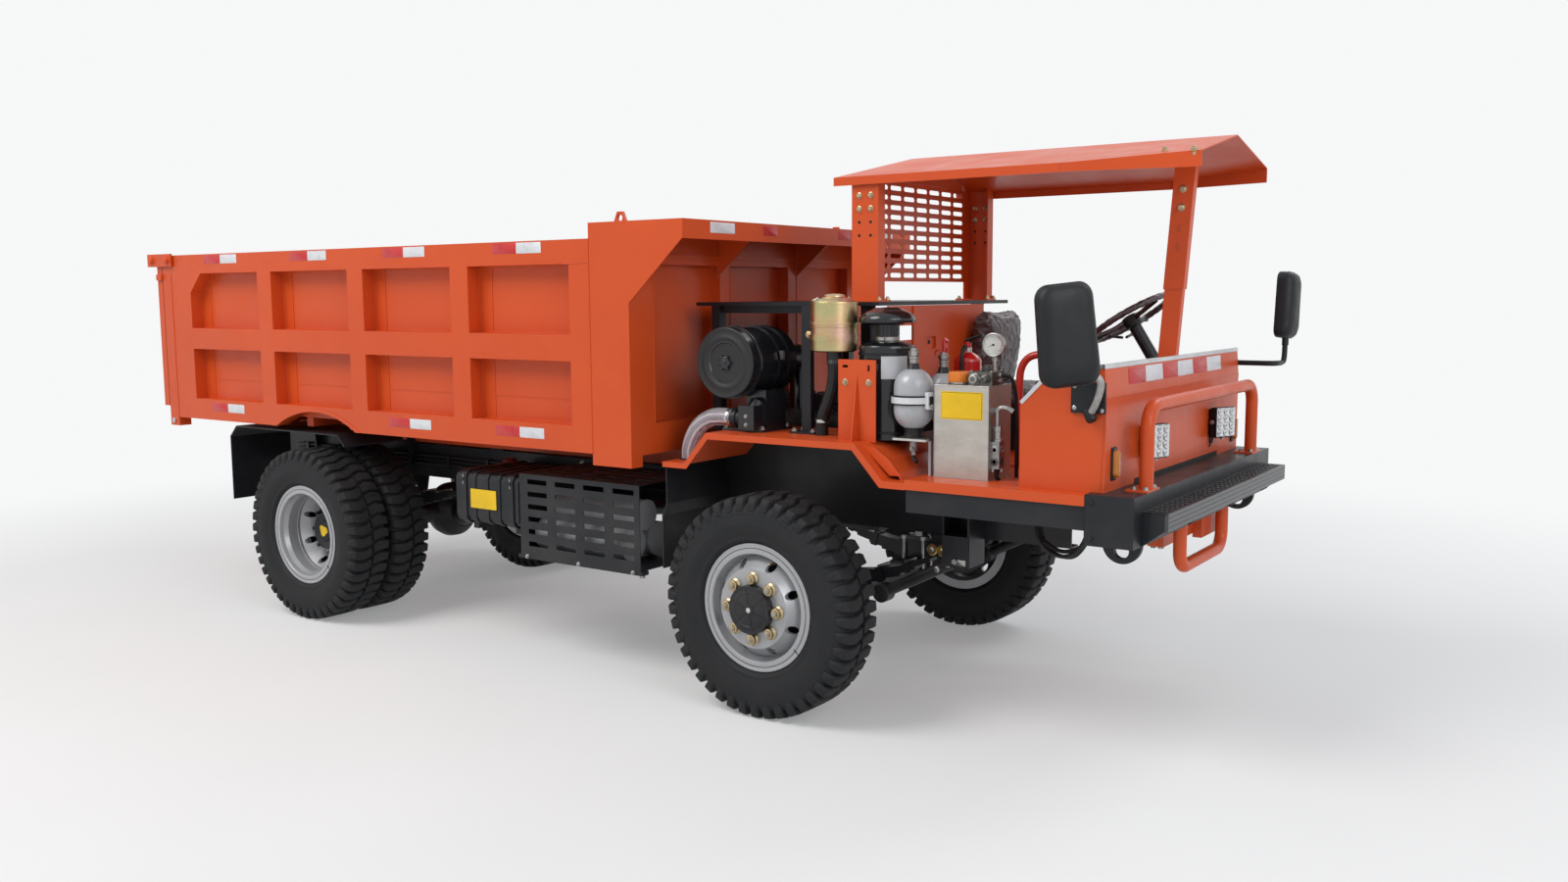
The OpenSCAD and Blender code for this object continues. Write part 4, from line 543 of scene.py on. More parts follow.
# Across a lug: place from its middle in half widths, the rest in millimetres, share of its height
LUG_EDGE = ((-1, -3, 0), (-1, 0, 0.82), (-1, 4, 1), (1, -4, 1), (1, 0, 0.82), (1, 3, 0))
RIB = [(121.0, 450), (128.0, 424), (128.9, 424), (124.2, 450)]
RIB_FACES = [(0, 1, 2, 3), (4, 5, 6, 7), (3, 2, 6, 7), (0, 3, 7, 4), (1, 2, 6, 5)]


def tyre_into(b, centre):
    outline = [(-y, r) for y, r in HALF] + [(y, r) for y, r in reversed(HALF)] + BEAD
    b.lathe(centre, Y, outline, 3 * LUG_N, closed=True)
    for side in (-1, 1):
        for i in range(LUG_N):
            angle = 2 * pi * (i + (0.5 if side > 0 else 0.0)) / LUG_N
            rings = []
            for (foot_y, foot_r), (top_y, top_r), w, shift in LUG:
                edge = []
                for half, more, t in LUG_EDGE:
                    y, r = foot_y + (top_y - foot_y) * t, foot_r + (top_r - foot_r) * t
                    x = (half * w + more + shift * side) * r / HUB_Z
                    edge.append((x, side * y, sqrt(r * r - x * x)))
                rings.append(turned(edge, angle, centre))
            b.rings(rings)
        # ribs under the lugs on the sidewall
        for i in range(LUG_N * 2):
            ends = [(x, side * y, r) for x in (-1.4, 1.4) for y, r in RIB]
            b.add(turned(ends, 2 * pi * (i + 0.25) / (LUG_N * 2), centre), RIB_FACES)


# Wheels: name, axle, rows of the tyres, body, node
WHEELS = [("front_right", FRONT_AXLE, [-991], "front_right_wheel", "tyre_front_right"),
          ("front_left", FRONT_AXLE, [991], "front_left_wheel", "tyre_front_left"),
          ("rear_right", 0, [-1023, -733], "rear_right_wheels", "tyres_rear_right"),
          ("rear_left", 0, [1023, 733], "rear_left_wheels", "tyres_rear_left")]
for name, axle, rows, body, node in WHEELS:
    b = Build("tyres_" + name, RUBBER)
    for row in rows:
        tyre_into(b, (axle, row, HUB_Z))
    b.done(body, [node])

# Wheel details


def hub_cap(b, axle, side, ax):
    """The front wheel's black cap with its six ribs and screws, grease nipple and the tyre's valve."""
    cap = (axle, side * 1145, HUB_Z)
    b.lathe(cap, ax, [(-1, 109), (1.4, 108), (2.2, 104), (0.6, 101), (0.6, 84), (2, 82), (2, 78), (0.4, 76)],
            64, 1)
    for i in range(6):
        angle = radians(60 * i + 20)
        b.box((20, 79), (0, side * 2.4), (-2.5, 2.5), 1, angle, cap)
        b.plug(turned([(92, 0, 0)], angle, cap)[0], ax, -1, 2.4, 5, 3.2, 3.6, 10, 1)
    b.lathe(cap, ax, [(-1, 25), (2.6, 24), (3.4, 21)], 32, 1)
    b.lathe(cap, ax, [(0, 11.5), (4.6, 11.5), (5.4, 10), (5.4, 5)], 24, 3)
    # dark core of the grease nipple: painted shade
    b.lathe(cap, ax, [(2, 5), (4.4, 5)], 12, 5)
    valve = [(222, -60 * side, 0), (222, -20 * side, 0), (226, 8 * side, 0), (230, 22 * side, 0)]
    b.tube(turned(valve, radians(-67.5), (axle, side * 1085, HUB_Z)), 4, 8)


def hub_drum(b, axle, side, ax):
    """The rear wheel's hub with its yellow mark, and the rings between the twin rims."""
    cap = (axle, side * 978, HUB_Z)
    b.lathe(cap, ax, [(-1, 106), (2, 104), (3, 96), (1, 92)], 48, 1)
    b.lathe(cap, ax, [(0, 62), (8, 60), (12, 54), (13, 0)], 40, 1)
    mark = [(40, 0), (30, 22), (-26, 36), (-36, 20), (-22, -24), (-12, -34), (6, -28)]
    b.slab(cap, X, Z, ax, mark, (12, 14), 4)
    for row in (1010, 938):
        b.torus((axle, side * row, HUB_Z), ax, 233.5, 4.2, 96, 8, 2)


STUDS_R = 137.5
for name, axle, rows, body, node in WHEELS:
    side = -1 if rows[0] < 0 else 1
    ax = Y * side
    b = Build("wheel_trim_" + name, GOLD if axle else BLACK, BLACK, RIM, CHROME, YELLOW, SHADE_AND_PRINT_BLACK, DULL)
    # cone washers, lock nuts and studs
    for i in range(8):
        a = radians(45 * i)
        at = (axle + STUDS_R * cos(a), side * WHEEL_FACE[axle], HUB_Z - STUDS_R * sin(a))
        b.lathe(at, ax, [(-1, 31), (4, 31), (6, 28), (11, 23)])
        b.plug(at, ax, 25, 26.5, 23.4, 28, 21, 24)
        if axle:
            b.plug(at, ax, 27, 35, 17, 36.5, 15, 6, 0, 0.4)
            b.plug(at, ax, 33, 39, 11.4, 40.6, 9, 16, 6)
    # rings on the rim, among them a thin dark ring of painted shade in the gap between the two silver rings,
    # and the split of its lock ring as a dark strip of painted shade
    at = (axle, side * (abs(rows[0]) + 100), HUB_Z)
    for ring, mat in (([(-6, 292.4), (0.6, 291.5), (1.6, 288), (1.6, 284), (0.2, 281), (-1, 281)], 2),
                      ([(-2, 272.6), (0.7, 272.2), (0.7, 269.6), (-2, 269.2)], 5),
                      ([(-2, 266), (1.2, 265), (1.2, 251), (-3, 247.5)], 2)):
        b.lathe(at, ax, ring, 96, mat, closed=True)
    b.box((262, 291.5), (0.2 * side, 2.0 * side), (-2.2, 2.2), 5, radians(38), at)
    (hub_cap if axle else hub_drum)(b, axle, side, ax)
    b.done(body)

# Bed: reflective strips, by station and height of each pair, and across the headboard's lip
STRIPS = ((-1018, 2146), (-125, 2146), (730, 2146), (1606, 2146), (-1016, 1218), (733, 1212), (1595, 1214))
b = Build("bed_strips", TAPE_RED, TAPE_WHITE)
for side in (-1, 1):
    for x, z in STRIPS:
        for k in (0, 1):
            b.plate((x + 88 + 176 * k, side * BED_SIDE, z), -X * side, Z, 175, 54, 0.8, k)
for row, w, k in ((-749, 190, 1), (-360, 120, 0), (330, 120, 0), (749, 190, 1)):
    b.plate((2867, row, 2221), Y, Z, w, 50, 0.8, k)
b.done("bed")

# Bed: welds round each field, seams, bosses of the gate's pins, and its lower latches
FIELDS_Z = ((1266, 1584), (1716, 2061))
HEADBOARD_X, GATE_X = 2533, -1565
b = Build("bed_welds", ORANGE, STEEL)
for s in (-1, 1):
    y, face = s * BED_SHEET, s * (BED_SIDE + 1)
    for i in range(4):
        x = -1190 + i * 868
        for z0, z1 in FIELDS_Z:
            for p, q in (((x + 2, y, z0), (x + 2, y, z1)), ((x + 728, y, z0), (x + 728, y, z1)),
                         ((x, y, z0 + 2), (x + 730, y, z0 + 2)), ((x, y, z1 - 2), (x + 730, y, z1 - 2))):
                b.bar(p, q, 3.2, 6)
        # flanged inner edge of each field and pressed seam of the lower one
        for z0, z1 in FIELDS_Z:
            b.box((x + 96, x + 101), (y - 3, y + 3), (z0 + 2, z1 - 2))
        b.box((x + 101, x + 728), (y - 2.4, y + 2.4), (1386, 1390))
    b.bar((2279, face, 1135), (2279, face, 2180), 2.6, 6)
    b.bar((-1404, face, 1135), (-1404, face, 2060), 2.6, 6)
    b.bar((2110, face - s / 2, 2060), (2279, face - s / 2, 2066), 2.0, 6)
    for x in (-1587, -1410):
        b.plug((x, s * 1070, 2150), Y * s, -2, 2, 34, 3, 30, 32)
        b.lathe((x, s * 1072, 2150), Y * s, [(0, 22), (12, 21), (16, 16), (17, 0)], 28)
    b.box((-1560, -1500), (s * 1056 - 8, s * 1056 + 8), (2022, 2060))
    # fillet at the wall's foot, which closes the slit over the wheel cut
    b.slab(NOWHERE, Y * s, Z, X, [(964.5, 1198), (938, 1198), (964.5, 1246)], (-1440, 2461))
    # stop plate and latch of the tailgate's lower edge
    b.box((-1496, -1420), (s * 1046 - 5, s * 1046 + 5), (1080, 1150))
    b.plug((-1458, face, 1112), Y * s, -2, 8, 18, 10, 15, 24, 1)
for y in (-365, 351):
    b.bar((HEADBOARD_X, y, 1990), (HEADBOARD_X, y, 2240), 2.4, 6)
for i in range(3):
    for y in (-874 + i * 615, -344 + i * 615):
        b.bar((HEADBOARD_X, y, 1285), (HEADBOARD_X, y, 2055), 2.6, 6)
b.done("bed")

# Tailgate: reflective strips and welds of its fields
b = Build("tailgate_fittings", ORANGE, TAPE_RED, TAPE_WHITE)
for i in range(4):
    for k in (0, 1):
        b.plate((GATE_X - 1, -760 + i * 470 + 120 * k, 1678), -Y, Z, 120, 50, 0.8, 1 + k)
for i in range(5):
    for z0, z1 in ((1306, 1640), (1720, 2060)):
        for y in (-990 + i * 405, -630 + i * 405):
            b.bar((GATE_X, y, z0), (GATE_X, y, z1), 2.4, 6)
b.done("gate")

# Canopy: bolts of its posts and roof, seam, and holes of the posts, drawn as dark discs and dark-edged
# patches of painted shade


def front_post(z):
    """Station of the leaning front post's middle at a height."""
    return 4770 + (z - 1640) * 0.0732


b = Build("canopy_bolts", GOLD, SHADE_AND_PRINT_BLACK, ORANGE, RED_BROWN)
REAR_POST_X = (3526, 3586)
for s in (-1, 1):
    for x in REAR_POST_X:
        for z in (2290, 2350):
            b.bolt((x, s * 585, z), Y * s, 14)
            b.bolt((x, s * 577, z), -Y * s, 14, reach=8)
    for x, y in ((3470, 512), (3470, 586), (3633, 512), (3633, 586)):
        b.bolt((x, s * y, POST_FOOT_Z), Z, 13, reach=6)
    # bolts through the roof's near side
    if s < 0:
        for x, y in ((4880, 440), (5010, 480)):
            up = unit((0, s * ROOF_FALL, ROOF_EDGE))
            at = Vector((x, s * y, ROOF_RIDGE_Z - ROOF_FALL * y / ROOF_EDGE))
            b.bolt(at, up, 16, reach=6)
            b.plug(at - up * 5, -up, 0, 14, 12, 15, 9, 12)
    # joint line of the two roof sheets and the folded corner
    b.box((4498, 4501), (s * ROOF_EDGE - 1.2, s * ROOF_EDGE + 1.2), (2398, 2434), 2)
    b.bar((4500, s * 12, 2561.5), (4500, s * 604, 2434.4), 1.5, 6, 2)
for z in (2349, 2270):
    b.bolt((front_post(z), -22.5, z), -Y, 16)
    b.bolt((front_post(z), 22.5, z), Y, 16, reach=8)
# holes in the front post: a red-brown edge of painted shade round an orange patch
for z in (2180, 2100):
    for s in (-1, 1):
        b.plate((front_post(z), s * 22.3, z), -X * s, Z, 13, 30, 0.5, 3, 6.4)
        b.plate((front_post(z), s * 22.7, z), -X * s, Z, 10, 27, 0.4, 2, 4.9)
# holes in the rear posts: dark discs of painted shade
for s in (-1, 1):
    for x in REAR_POST_X:
        for z in (2170, 2230):
            b.plug((x, s * 585, z), Y * s, -6, 0.4, 7.4, 0.6, 6.8, 20, 1)
b.bar((4730, -19.5, 1126), (4810, -19.5, 1126), 3, 6, 2)
b.done()

# Cowl: aluminium trim, reflective row, seams, bull bar's and step's bolts
COWL_EDGE = [(4472, 1474), (4570, 1574), (4816, 1629)]
COWL_KINK = Vector((4829.4, 0, 1500))
# Section of the side's trim: row, distance above the edge
TRIM_SECTION = ((889.5, -13), (889.5, 3), (872, 3), (872, -12))
b = Build("cowl_trim", TRIM, TAPE_RED, TAPE_WHITE, SHADE_AND_PRINT_BLACK, DULL, ORANGE)
for s in (-1, 1):
    for (x0, z0), (x1, z1) in zip(COWL_EDGE, COWL_EDGE[1:]):
        d = unit((x1 - x0, 0, z1 - z0))
        up = Vector((-d.z, 0, d.x))
        ring = [Y * s * y + up * t for y, t in TRIM_SECTION]
        b.rings([[Vector((x, 0, z)) + q for q in ring] for x, z in ((x0 - 2, z0 - 2), (x1, z1))])
    b.bar((4812, s * 889, 1140), (4829, s * 889, 1500), 0.8, 6, 5)
lean = unit((-10, 0, 127))
top = Vector((4819, 0, 1627))
ring = [top - lean * 14 + X * 2.4, top + X * 2.4 + Z * 3, top - X * 13 + Z * 3, top - lean * 13 - X * 11]
b.rings([[q + Y * y for q in ring] for y in (-890, 890)])
edges = [-637, -439, -229, -30, 178, 385, 600]
for i, (y0, y1) in enumerate(zip(edges, edges[1:])):
    b.plate(COWL_KINK + Y * ((y0 + y1) / 2) + lean * 72, Y, lean, y1 - y0 - 1, 66, 0.8, 1 + i % 2)
b.bar((4829.6, -886, 1500), (4829.6, 886, 1500), 1.6, 6, 5)
# dark strip along the cowl's lower edge: painted shade of the gap there
b.box((4828, 4830.2), (-560, 560), (1131, 1150), 3)
for s in (-1, 1):
    for dy in (-48, 48):
        for x in (4908, 4954):
            b.bolt((x, s * (733 + dy), 1139), Z, 14, 4, reach=3)
for x in (4806, 4840):
    for y in (-240, 370):
        b.bolt((x, y, 818), -Z, 16, 4)
b.done()

# Work lamps with their cells and cooling fins, and side markers
b = Build("lamp_units", PLASTIC, REFLECTOR, AMBER, DULL)
LAMP_Z = 1300
YOKE = [(-66, 6), (-62, 6), (-62, -70), (62, -70), (62, 6), (66, 6), (66, -74), (-66, -74)]
MARKER = rounded(34, 106, 16.5, 8)
for s, yaw in ((-1, -19), (1, -25)):
    row = s * 463
    first = len(b.v)
    b.plate((4896, row, LAMP_Z), Y, Z, 126, 140, 8, 0, 10)
    b.box((4868, 4897), (row - 61, row + 61), (1232, 1368))
    for k in range(9):
        b.box((4846, 4870), (row - 57 + k * 14, row - 53 + k * 14), (1240, 1360))
    for i in range(3):
        for j in range(4):
            at = (4904, row + (i - 1) * 39, LAMP_Z + (j - 1.5) * 33)
            b.plug(at, X, -1, 0.9, 17.2, 1, 15, 24, 3)
            b.lathe(at, X, [(-1, 15.2), (4, 15.2), (4.4, 14.6), (4, 13.6), (1.6, 9), (1, 5.6)], 24, 1)
            b.lathe(at, X, [(0.4, 5.4), (1.8, 4.6), (2.6, 2.8), (2.8, 0)], 12, 3)
    b.plate((4904, row, LAMP_Z), Y, Z, 120, 134, 0.5, 1, 5)
    b.slab((0, row, LAMP_Z), Y, Z, X, YOKE, (4872, 4890))
    for t in (-1, 1):
        b.bolt((4881, row + 66 * t, LAMP_Z), Y * t, 12, 3)
    b.swing(first, (4872, row), radians(yaw))
    b.box((4829, 4890), (row - 22, row + 22), (1226, 1232))
    b.box((4829, 4834), (row - 22, row + 22), (1196, 1262))
    b.tube([(4850, row - 10, 1250), (4842, row - 24, 1214), (4832, row - 30, 1180)], 4, 8)
    b.plug((4881, row, 1226), -Z, 0, 8, 9, 9, 6, 12, 3)
    row = s * 800
    b.plate((4829, row, 1237), Y, Z, 56, 132, 6, 0, 10)
    b.rings([[(4834 + dx, row + y * w, 1237 + z * h) for y, z in MARKER] for dx, w, h in
             ((0, 1, 1), (13, 0.98, 0.99), (19, 0.84, 0.94), (22, 0.5, 0.84))], 2)
    for k in range(9):
        b.box((4854.5, 4856.6), (row - 10, row + 10), (1193 + k * 10.6, 1196 + k * 10.6), 2)
    for z in (1181, 1293):
        b.plug((4835, row, z), X, -1, 1.6, 5, 2.4, 3, 10, 3)
b.done("truck", ["lamps"])

# Air cleaner: end cap, clamps, feet
b = Build("cleaner_trim", GLOSS, DULL, BLACK, SATIN)
DRUM = (2950, -850, 1589)
b.lathe(DRUM, -Y, [(-4, 167), (2, 165), (5, 160), (3, 152), (3, 128), (6, 124), (6, 112), (-2, 100),
                   (-9, 90)], 72, 3)
b.lathe(DRUM, -Y, [(-24, 88), (-14, 60), (-10, 34), (-6, 30), (6, 28), (9, 22)], 48)
for i in range(6):
    b.box((16, 36), (8, -12), (-5, 5), 0, radians(60 * i), (2950, -846, 1589))
b.plug(DRUM, -Y, 2, 11, 13, 13, 9, 20)
b.lathe((2950, -794, 1589), -Y, [(-7, 171.5), (-5, 173), (5, 173), (7, 171.5)], 72)
b.box((3105, 3135), (-640, -626), (1600, 1640), 1)
for x in (2904, 3114):
    for y in (-784, -578):
        b.bolt((x, y, 1276), Z, 16, 1, reach=5)
for x in (3266, 3370):
    for y in (-738, -662):
        b.bolt((x, y, 1274), Z, 15, 1, reach=5)
for z in (1300, 1340):
    b.bolt((3065, -845, z), -Y, 10, 1)
b.lathe((2974, -800, 1326), X, [(-12, 43), (-10, 45), (18, 45), (20, 41)], 32, 2)
b.tube([(2974, -800, 1326), (3020, -800, 1328), (3060, -790, 1352), (3076, -760, 1404)], 38, 16, 2)
b.lathe((2950, -250, 1589), -Y, [(0, 64), (2, 66), (16, 66), (18, 64)], 40, 1)
b.done()

# Clear hose's wire coil, and the clamps of the hoses
b = Build("hose_coils", WIRE, STEEL, HOSE_BLACK)
HOSE_PATH = smooth_path([(2958, -800, 1326), (2900, -800, 1330), (2838, -800, 1324), (2784, -800, 1300),
                         (2738, -800, 1262), (2706, -800, 1210), (2690, -800, 1160), (2688, -800, 1113)], 8)
TURNS, TURN_STEPS, COIL_R = 44, 12, 40.2
length = [0.0]
for p, q in zip(HOSE_PATH, HOSE_PATH[1:]):
    length.append(length[-1] + (q - p).length)
coil = []
for i in range(TURNS * TURN_STEPS + 1):
    s = length[-1] * i / (TURNS * TURN_STEPS)
    k = min(max(j for j in range(len(length)) if length[j] <= s), len(HOSE_PATH) - 2)
    d = HOSE_PATH[k + 1] - HOSE_PATH[k]
    at = HOSE_PATH[k] + d * ((s - length[k]) / d.length)
    a = 2 * pi * i / TURN_STEPS
    coil.append(at + (Y * cos(a) + d.normalized().cross(Y) * sin(a)) * COIL_R)
b.tube(coil, 1.5, 5, 0, 1)
b.band((2944, -800, 1327), X, 8, 42, 1.5, 32, 1)
b.box((2938, 2950), (-850, -838), (1318, 1336), 1)
b.plug((2688, -800, 1113), Z, -1, 3, 52, 4, 50, 32, 2)
for x, z, r in ((3490, 1604, 35), (3423, 1330, 31.5)):
    b.lathe((x, -740, z), Z, [(-7, r), (7, r)], 28, 1)
b.done()

# Oil bath canister: lid with its clips, bottom, bead, and the pipe with its nut and plug
b = Build("canister_trim", ZINC, DULL)
CAN_X, CAN_Y = 3490, -740
can = (CAN_X, CAN_Y, 0)
b.lathe(can, Z, [(1864, 108.6), (1868, 109), (1874, 106), (1879, 96), (1881, 84), (1886, 78), (1887, 60),
                 (1891, 57), (1893, 50), (1900, 49), (1903, 44), (1907, 26), (1908, 0)], 64)
b.lathe(can, Z, [(1652, 98), (1648, 92), (1650, 60)], 64)
b.lathe(can, Z, [(1757, 108.2), (1758, 109.6), (1761, 110), (1764, 109.6), (1765, 108.2)], 64)
for a in (200, 320, 80):
    c, s = cos(radians(a)), sin(radians(a))
    b.bar((CAN_X + 100 * c, CAN_Y + 100 * s, 1876), (CAN_X + 74 * c, CAN_Y + 74 * s, 1888), 5, 8, 1)
b.bar((3340, -715, 1720), (3396, -724, 1720), 15, 16)
b.lathe((3352, -717, 1720), (1, -0.16, 0), [(-8, 20), (8, 20)], 6)
b.plug((3336, -716, 1722), -Y, -6, 8, 15, 10, 11, 20)
b.done()

# Second filter: glossy rain cap, clamps, upright bars, blank label
b = Build("filter_trim", GLOSS, DULL, LABEL_WHITE, BLACK)
FILTER_X, FILTER_Y = 3722, -664
can = (FILTER_X, FILTER_Y, 0)
b.lathe(can, Z, [(1786, 60), (1782, 100), (1778, 118), (1780, 124), (1788, 127), (1800, 125), (1814, 114),
                 (1828, 92), (1839, 62), (1846, 28), (1848, 0)], 72)
b.lathe(can, Z, [(1698, 52.4), (1700, 55), (1716, 55), (1718, 52.4)], 40, 1)
b.box((3716, 3742), (-728, -716), (1701, 1715), 1)
b.lathe(can, Z, [(1660, 125.4), (1668, 127), (1678, 122), (1690, 96), (1696, 76), (1698, 56)], 72)
for p in circle(Vector(can), X, Y, 53, 18):
    b.bar(p + Z * 1720, p + Z * 1776, 2.2, 6)
label = []
for k in range(9):
    a = radians(-72 + 56 * k / 8)
    label.append([(FILTER_X + r * cos(a), FILTER_Y + r * sin(a), z)
                  for r, z in ((125.4, 1534), (126.1, 1534), (126.1, 1634), (125.4, 1634))])
b.rings(label, 2)
for z in (1296, 1642):
    b.band((FILTER_X, FILTER_Y, z), Z, 6, 127.6, 1.4, 72, 3)
b.done()

# Bracket plate's bolts, with a dark disc of painted shade in each nut's bore
b = Build("bracket_bolts", GOLD, SHADE_AND_PRINT_BLACK)
for x in (3614, 3734):
    b.plug((x, -846, 1520), -Y, -1, 1.4, 15, 2, 14, 24)
    b.plug((x, -848, 1520), -Y, -1, 8, 10.6, 9.6, 8.8, 6, 0, 0.3)
    b.lathe((x, -856, 1520), -Y, [(-2, 5), (1.2, 5)], 10, 1)
    b.plug((x, -839, 1520), Y, 0, 9, 12, 10, 9)
b.done()

# Accumulators: straps with rubber edges, latch, foot, neck and valve, and the fittings below them
b = Build("accumulator_trim", DULL, HOSE_BLACK, BLACK, RED, TAPE_WHITE)
# Station, row and radius of each shell, and the height of its lower end
SHELL_PLACES, SHELL_Z = ((3915, -767, 86), (3935, -530, 72)), 1318
for x, y, r in SHELL_PLACES:
    strap = SHELL_Z + r + 46
    b.band((x, y, strap), Z, 21, r, 8, 64, 1)
    b.band((x, y, strap), Z, 14, r + 7, 4, 64, 4)
    d = unit((1, -0.35, 0))
    at = Vector((x, y, strap)) + d * (r + 12)
    b.slab(at, d.cross(Z), Z, d, rounded(34, 74, 5), (-8, 14), 4)
    b.slab(at, d.cross(Z), Z, d, rounded(20, 40, 4), (13, 17), 2)
    b.plug(at + d * 15 - Z * 22, d, 0, 8, 9, 9, 6)
    d = unit((-1, -0.5, 0))
    at = Vector((x, y, strap - 40)) + d * (r + 6)
    b.tube([at + Z * 30, at + d * 10, at - Z * 36 + d * 4], 5, 8, 2)
    b.lathe((x, y, 1288), Z, [(-0.5, 46), (4, 46), (10, 40), (30, 38), (48, 46), (54, 44)], 40, 1)
    t = SHELL_Z + 2 * r + 98
    b.lathe((x, y, t), Z, [(-14, 34), (-3, 30), (2, 26), (16, 24), (20, 20)], 32, 2)
    b.lathe((x, y, t + 18), Z, [(0, 19.6), (20, 19.6), (22, 22), (30, 22), (32, 18.6)], 24)
    b.lathe((x, y, t + 50), Z, [(0, 21), (4, 23), (22, 23), (24, 20), (26, 16), (34, 16), (36, 12)], 6)
    b.lathe((x, y, t + 74), Z, [(0, 15), (10, 15), (13, 11), (14, 0)], 20)
# red ring and bent pipe on the second one's valve
x, y, r = SHELL_PLACES[1]
b.torus((x - 26, y - 6, 1640), Y, 15, 3, 24, 8, 3)
b.tube([(x, y, 1640), (x + 6, y, 1662), (x + 4, y, 1690), (x + 14, y, 1702)], 12, 12, 3)
for x, y, r in SHELL_PLACES:
    b.plug((x, y, 1279), -Z, 0, 8, 24, 10, 20)
    b.lathe((x, y, 1262), -Z, [(0, 16), (20, 16), (22, 19), (36, 19), (38, 14)], 6, 0, 0.5)
    b.tube([(x, y, 1222), (x, y, 1206), (x + 8, y - 6, 1190), (x + 24, y - 12, 1180)], 9, 10, 2)
    b.lathe((x, y - 22, 1238), Y, [(0, 8), (24, 8)], 12)
b.done()

# Oil tank: knurled cap, blank plate, welds, fittings of its two valve blocks, gauge, rail
b = Build("tank_trim", DULL, CAP_ORANGE, YELLOW, DARK_STEEL, DIAL, RED, SHADE_AND_PRINT_BLACK, LENS, RED_RAIL)
CAP = Vector((4108, -706, 1520))
b.lathe(CAP, Z, [(0, 50), (3, 50), (4, 47), (8, 46), (9, 40), (13, 40)], 48, 3)
for p in circle(CAP + Z * 3, X, Y, 46, 6, radians(15)):
    b.lathe(p, Z, [(0, 4), (3, 4)], 8, 3)
KNURLS = 112
cap = []
for z, r in ((10, 47), (12, 50), (48, 50), (53, 47), (54.5, 38), (54.5, 0.1)):
    low, high = circle(CAP + Z * z, X, Y, r, KNURLS), circle(CAP + Z * z, X, Y, r + 1.6, KNURLS)
    cap.append([high[k] if k % 4 < 2 and r > 41 else low[k] for k in range(KNURLS)])
b.rings(cap, 1)
for y, w, h, t, mat, r in ((-800, 196, 118, 0.9, 2, 5), (-800.8, 188, 110, 0.35, 6, 4),
                           (-801, 185.6, 107.6, 0.4, 2, 4)):
    b.plate((4164, y, 1436), -X, Z, w, h, t, mat, r)
for p, q in (((4034, -800, 1126), (4034, -800, 1520)), ((4289, -800, 1126), (4289, -800, 1520)),
             ((4034, -800, 1520), (4289, -800, 1520)), ((4289, -800, 1520), (4289, -586, 1520))):
    b.bar(p, q, 1.8, 8)
b.box((4030, 4293), (-804, -582), (1125, 1128))
# valve block's plugs and fittings
for x, r, m in ((4206, 21, 0), (4254, 16, 3)):
    b.plug((x, -760, 1548), -Y, -1, 8, r + 5, 10, r + 2, 6, m, 0.2)
    b.lathe((x, -768, 1548), -Y, [(0, r), (16, r), (19, r - 4), (19, r - 10), (14, r - 10)], 28, m)
for z in (1560, 1536):
    b.plug((4284, -690, z), X, -1, 6, 13, 8, 10)
b.lathe((4230, -704, 1578), Z, [(-1, 20), (10, 20), (12, 16), (26, 15), (28, 10)], 6, 3)
for y in (-752, -658):
    for x in (4184, 4276):
        b.lathe((x, y, 1578), Z, [(-1, 6.5), (6, 6.5), (6, 3.6), (3, 3.6)], 16)
b.lathe((4262, -690, 1578), Z, [(-1, 13), (14, 13), (15, 9), (40, 9), (41, 12), (58, 12), (60, 8)], 6)
# gauge: case, dial with its marks, needle and glass
GAUGE_X, GAUGE_Z = 4262, 1690


def on_dial(r, degrees, y=-707.2):
    """A place on the gauge's dial, by radius and by degrees from the top."""
    return GAUGE_X + r * sin(radians(degrees)), y, GAUGE_Z + r * cos(radians(degrees))


case = [(-31, 0), (-31, 14), (-30.4, 30), (-30, 40), (-29, 47), (-2, 47.5), (1, 50), (4, 50), (5.5, 47),
        (4, 43.5), (1, 43), (0.4, 42)]
b.lathe((GAUGE_X, -706, GAUGE_Z), -Y, case, 56)
b.lathe((GAUGE_X, -706, GAUGE_Z), -Y, [(0.2, 43), (0.8, 43), (0.8, 0)], 48, 4)
for k in range(25):
    a = -135 + 270 * k / 24
    b.bar(on_dial(38, a), on_dial(34 if k % 4 else 30, a), 0.7, 6, 6)
b.tube([on_dial(40.5, a) for a in range(20, 136, 8)], 1.2, 6, 5, 1)
b.bar(on_dial(0, 0, -708.6), on_dial(30, -110, -708.6), 1.3, 6, 6, r2=0.5)
b.lathe((GAUGE_X, -707, GAUGE_Z), -Y, [(0, 5), (3, 4.4), (3.6, 0)], 16, 6)
b.lathe((GAUGE_X, -710, GAUGE_Z), -Y, [(0, 43.2), (0.8, 43.2), (1.6, 30), (1.8, 0)], 48, 7)
# side valve's plugs, nuts, elbow and pipes
for z, m in ((1256, 0), (1206, 3)):
    for at, d in (((4310, -784, z), -Y), ((4331, -759, z), X)):
        b.lathe(at, d, [(-1, 17), (2, 17), (3, 15), (3, 9), (0, 8)], 28, m)
b.lathe((4311, -759, 1290), Z, [(-1, 22), (10, 22), (12, 18), (40, 18), (42, 20), (64, 20), (66, 12)], 6)
b.lathe((4311, -759, 1356), Z, [(0, 11), (52, 11)], 20)
b.tube([(4311, -759, 1400), (4311, -759, 1420), (4326, -757, 1432), (4352, -752, 1430), (4374, -746, 1416)],
       11, 12)
b.tube([(4289, -759, 1414), (4304, -759, 1422), (4316, -759, 1430)], 10, 12)
b.plug((4289, -759, 1414), X, -1, 8, 19, 10, 15)
for x, y in ((4296, -770), (4324, -748)):
    b.plug((x, y, 1176), -Z, -1, 14, 9, 15, 6)
b.tube([(4310, -759, 1176), (4310, -759, 1140), (4316, -750, 1127)], 9, 10, 6)
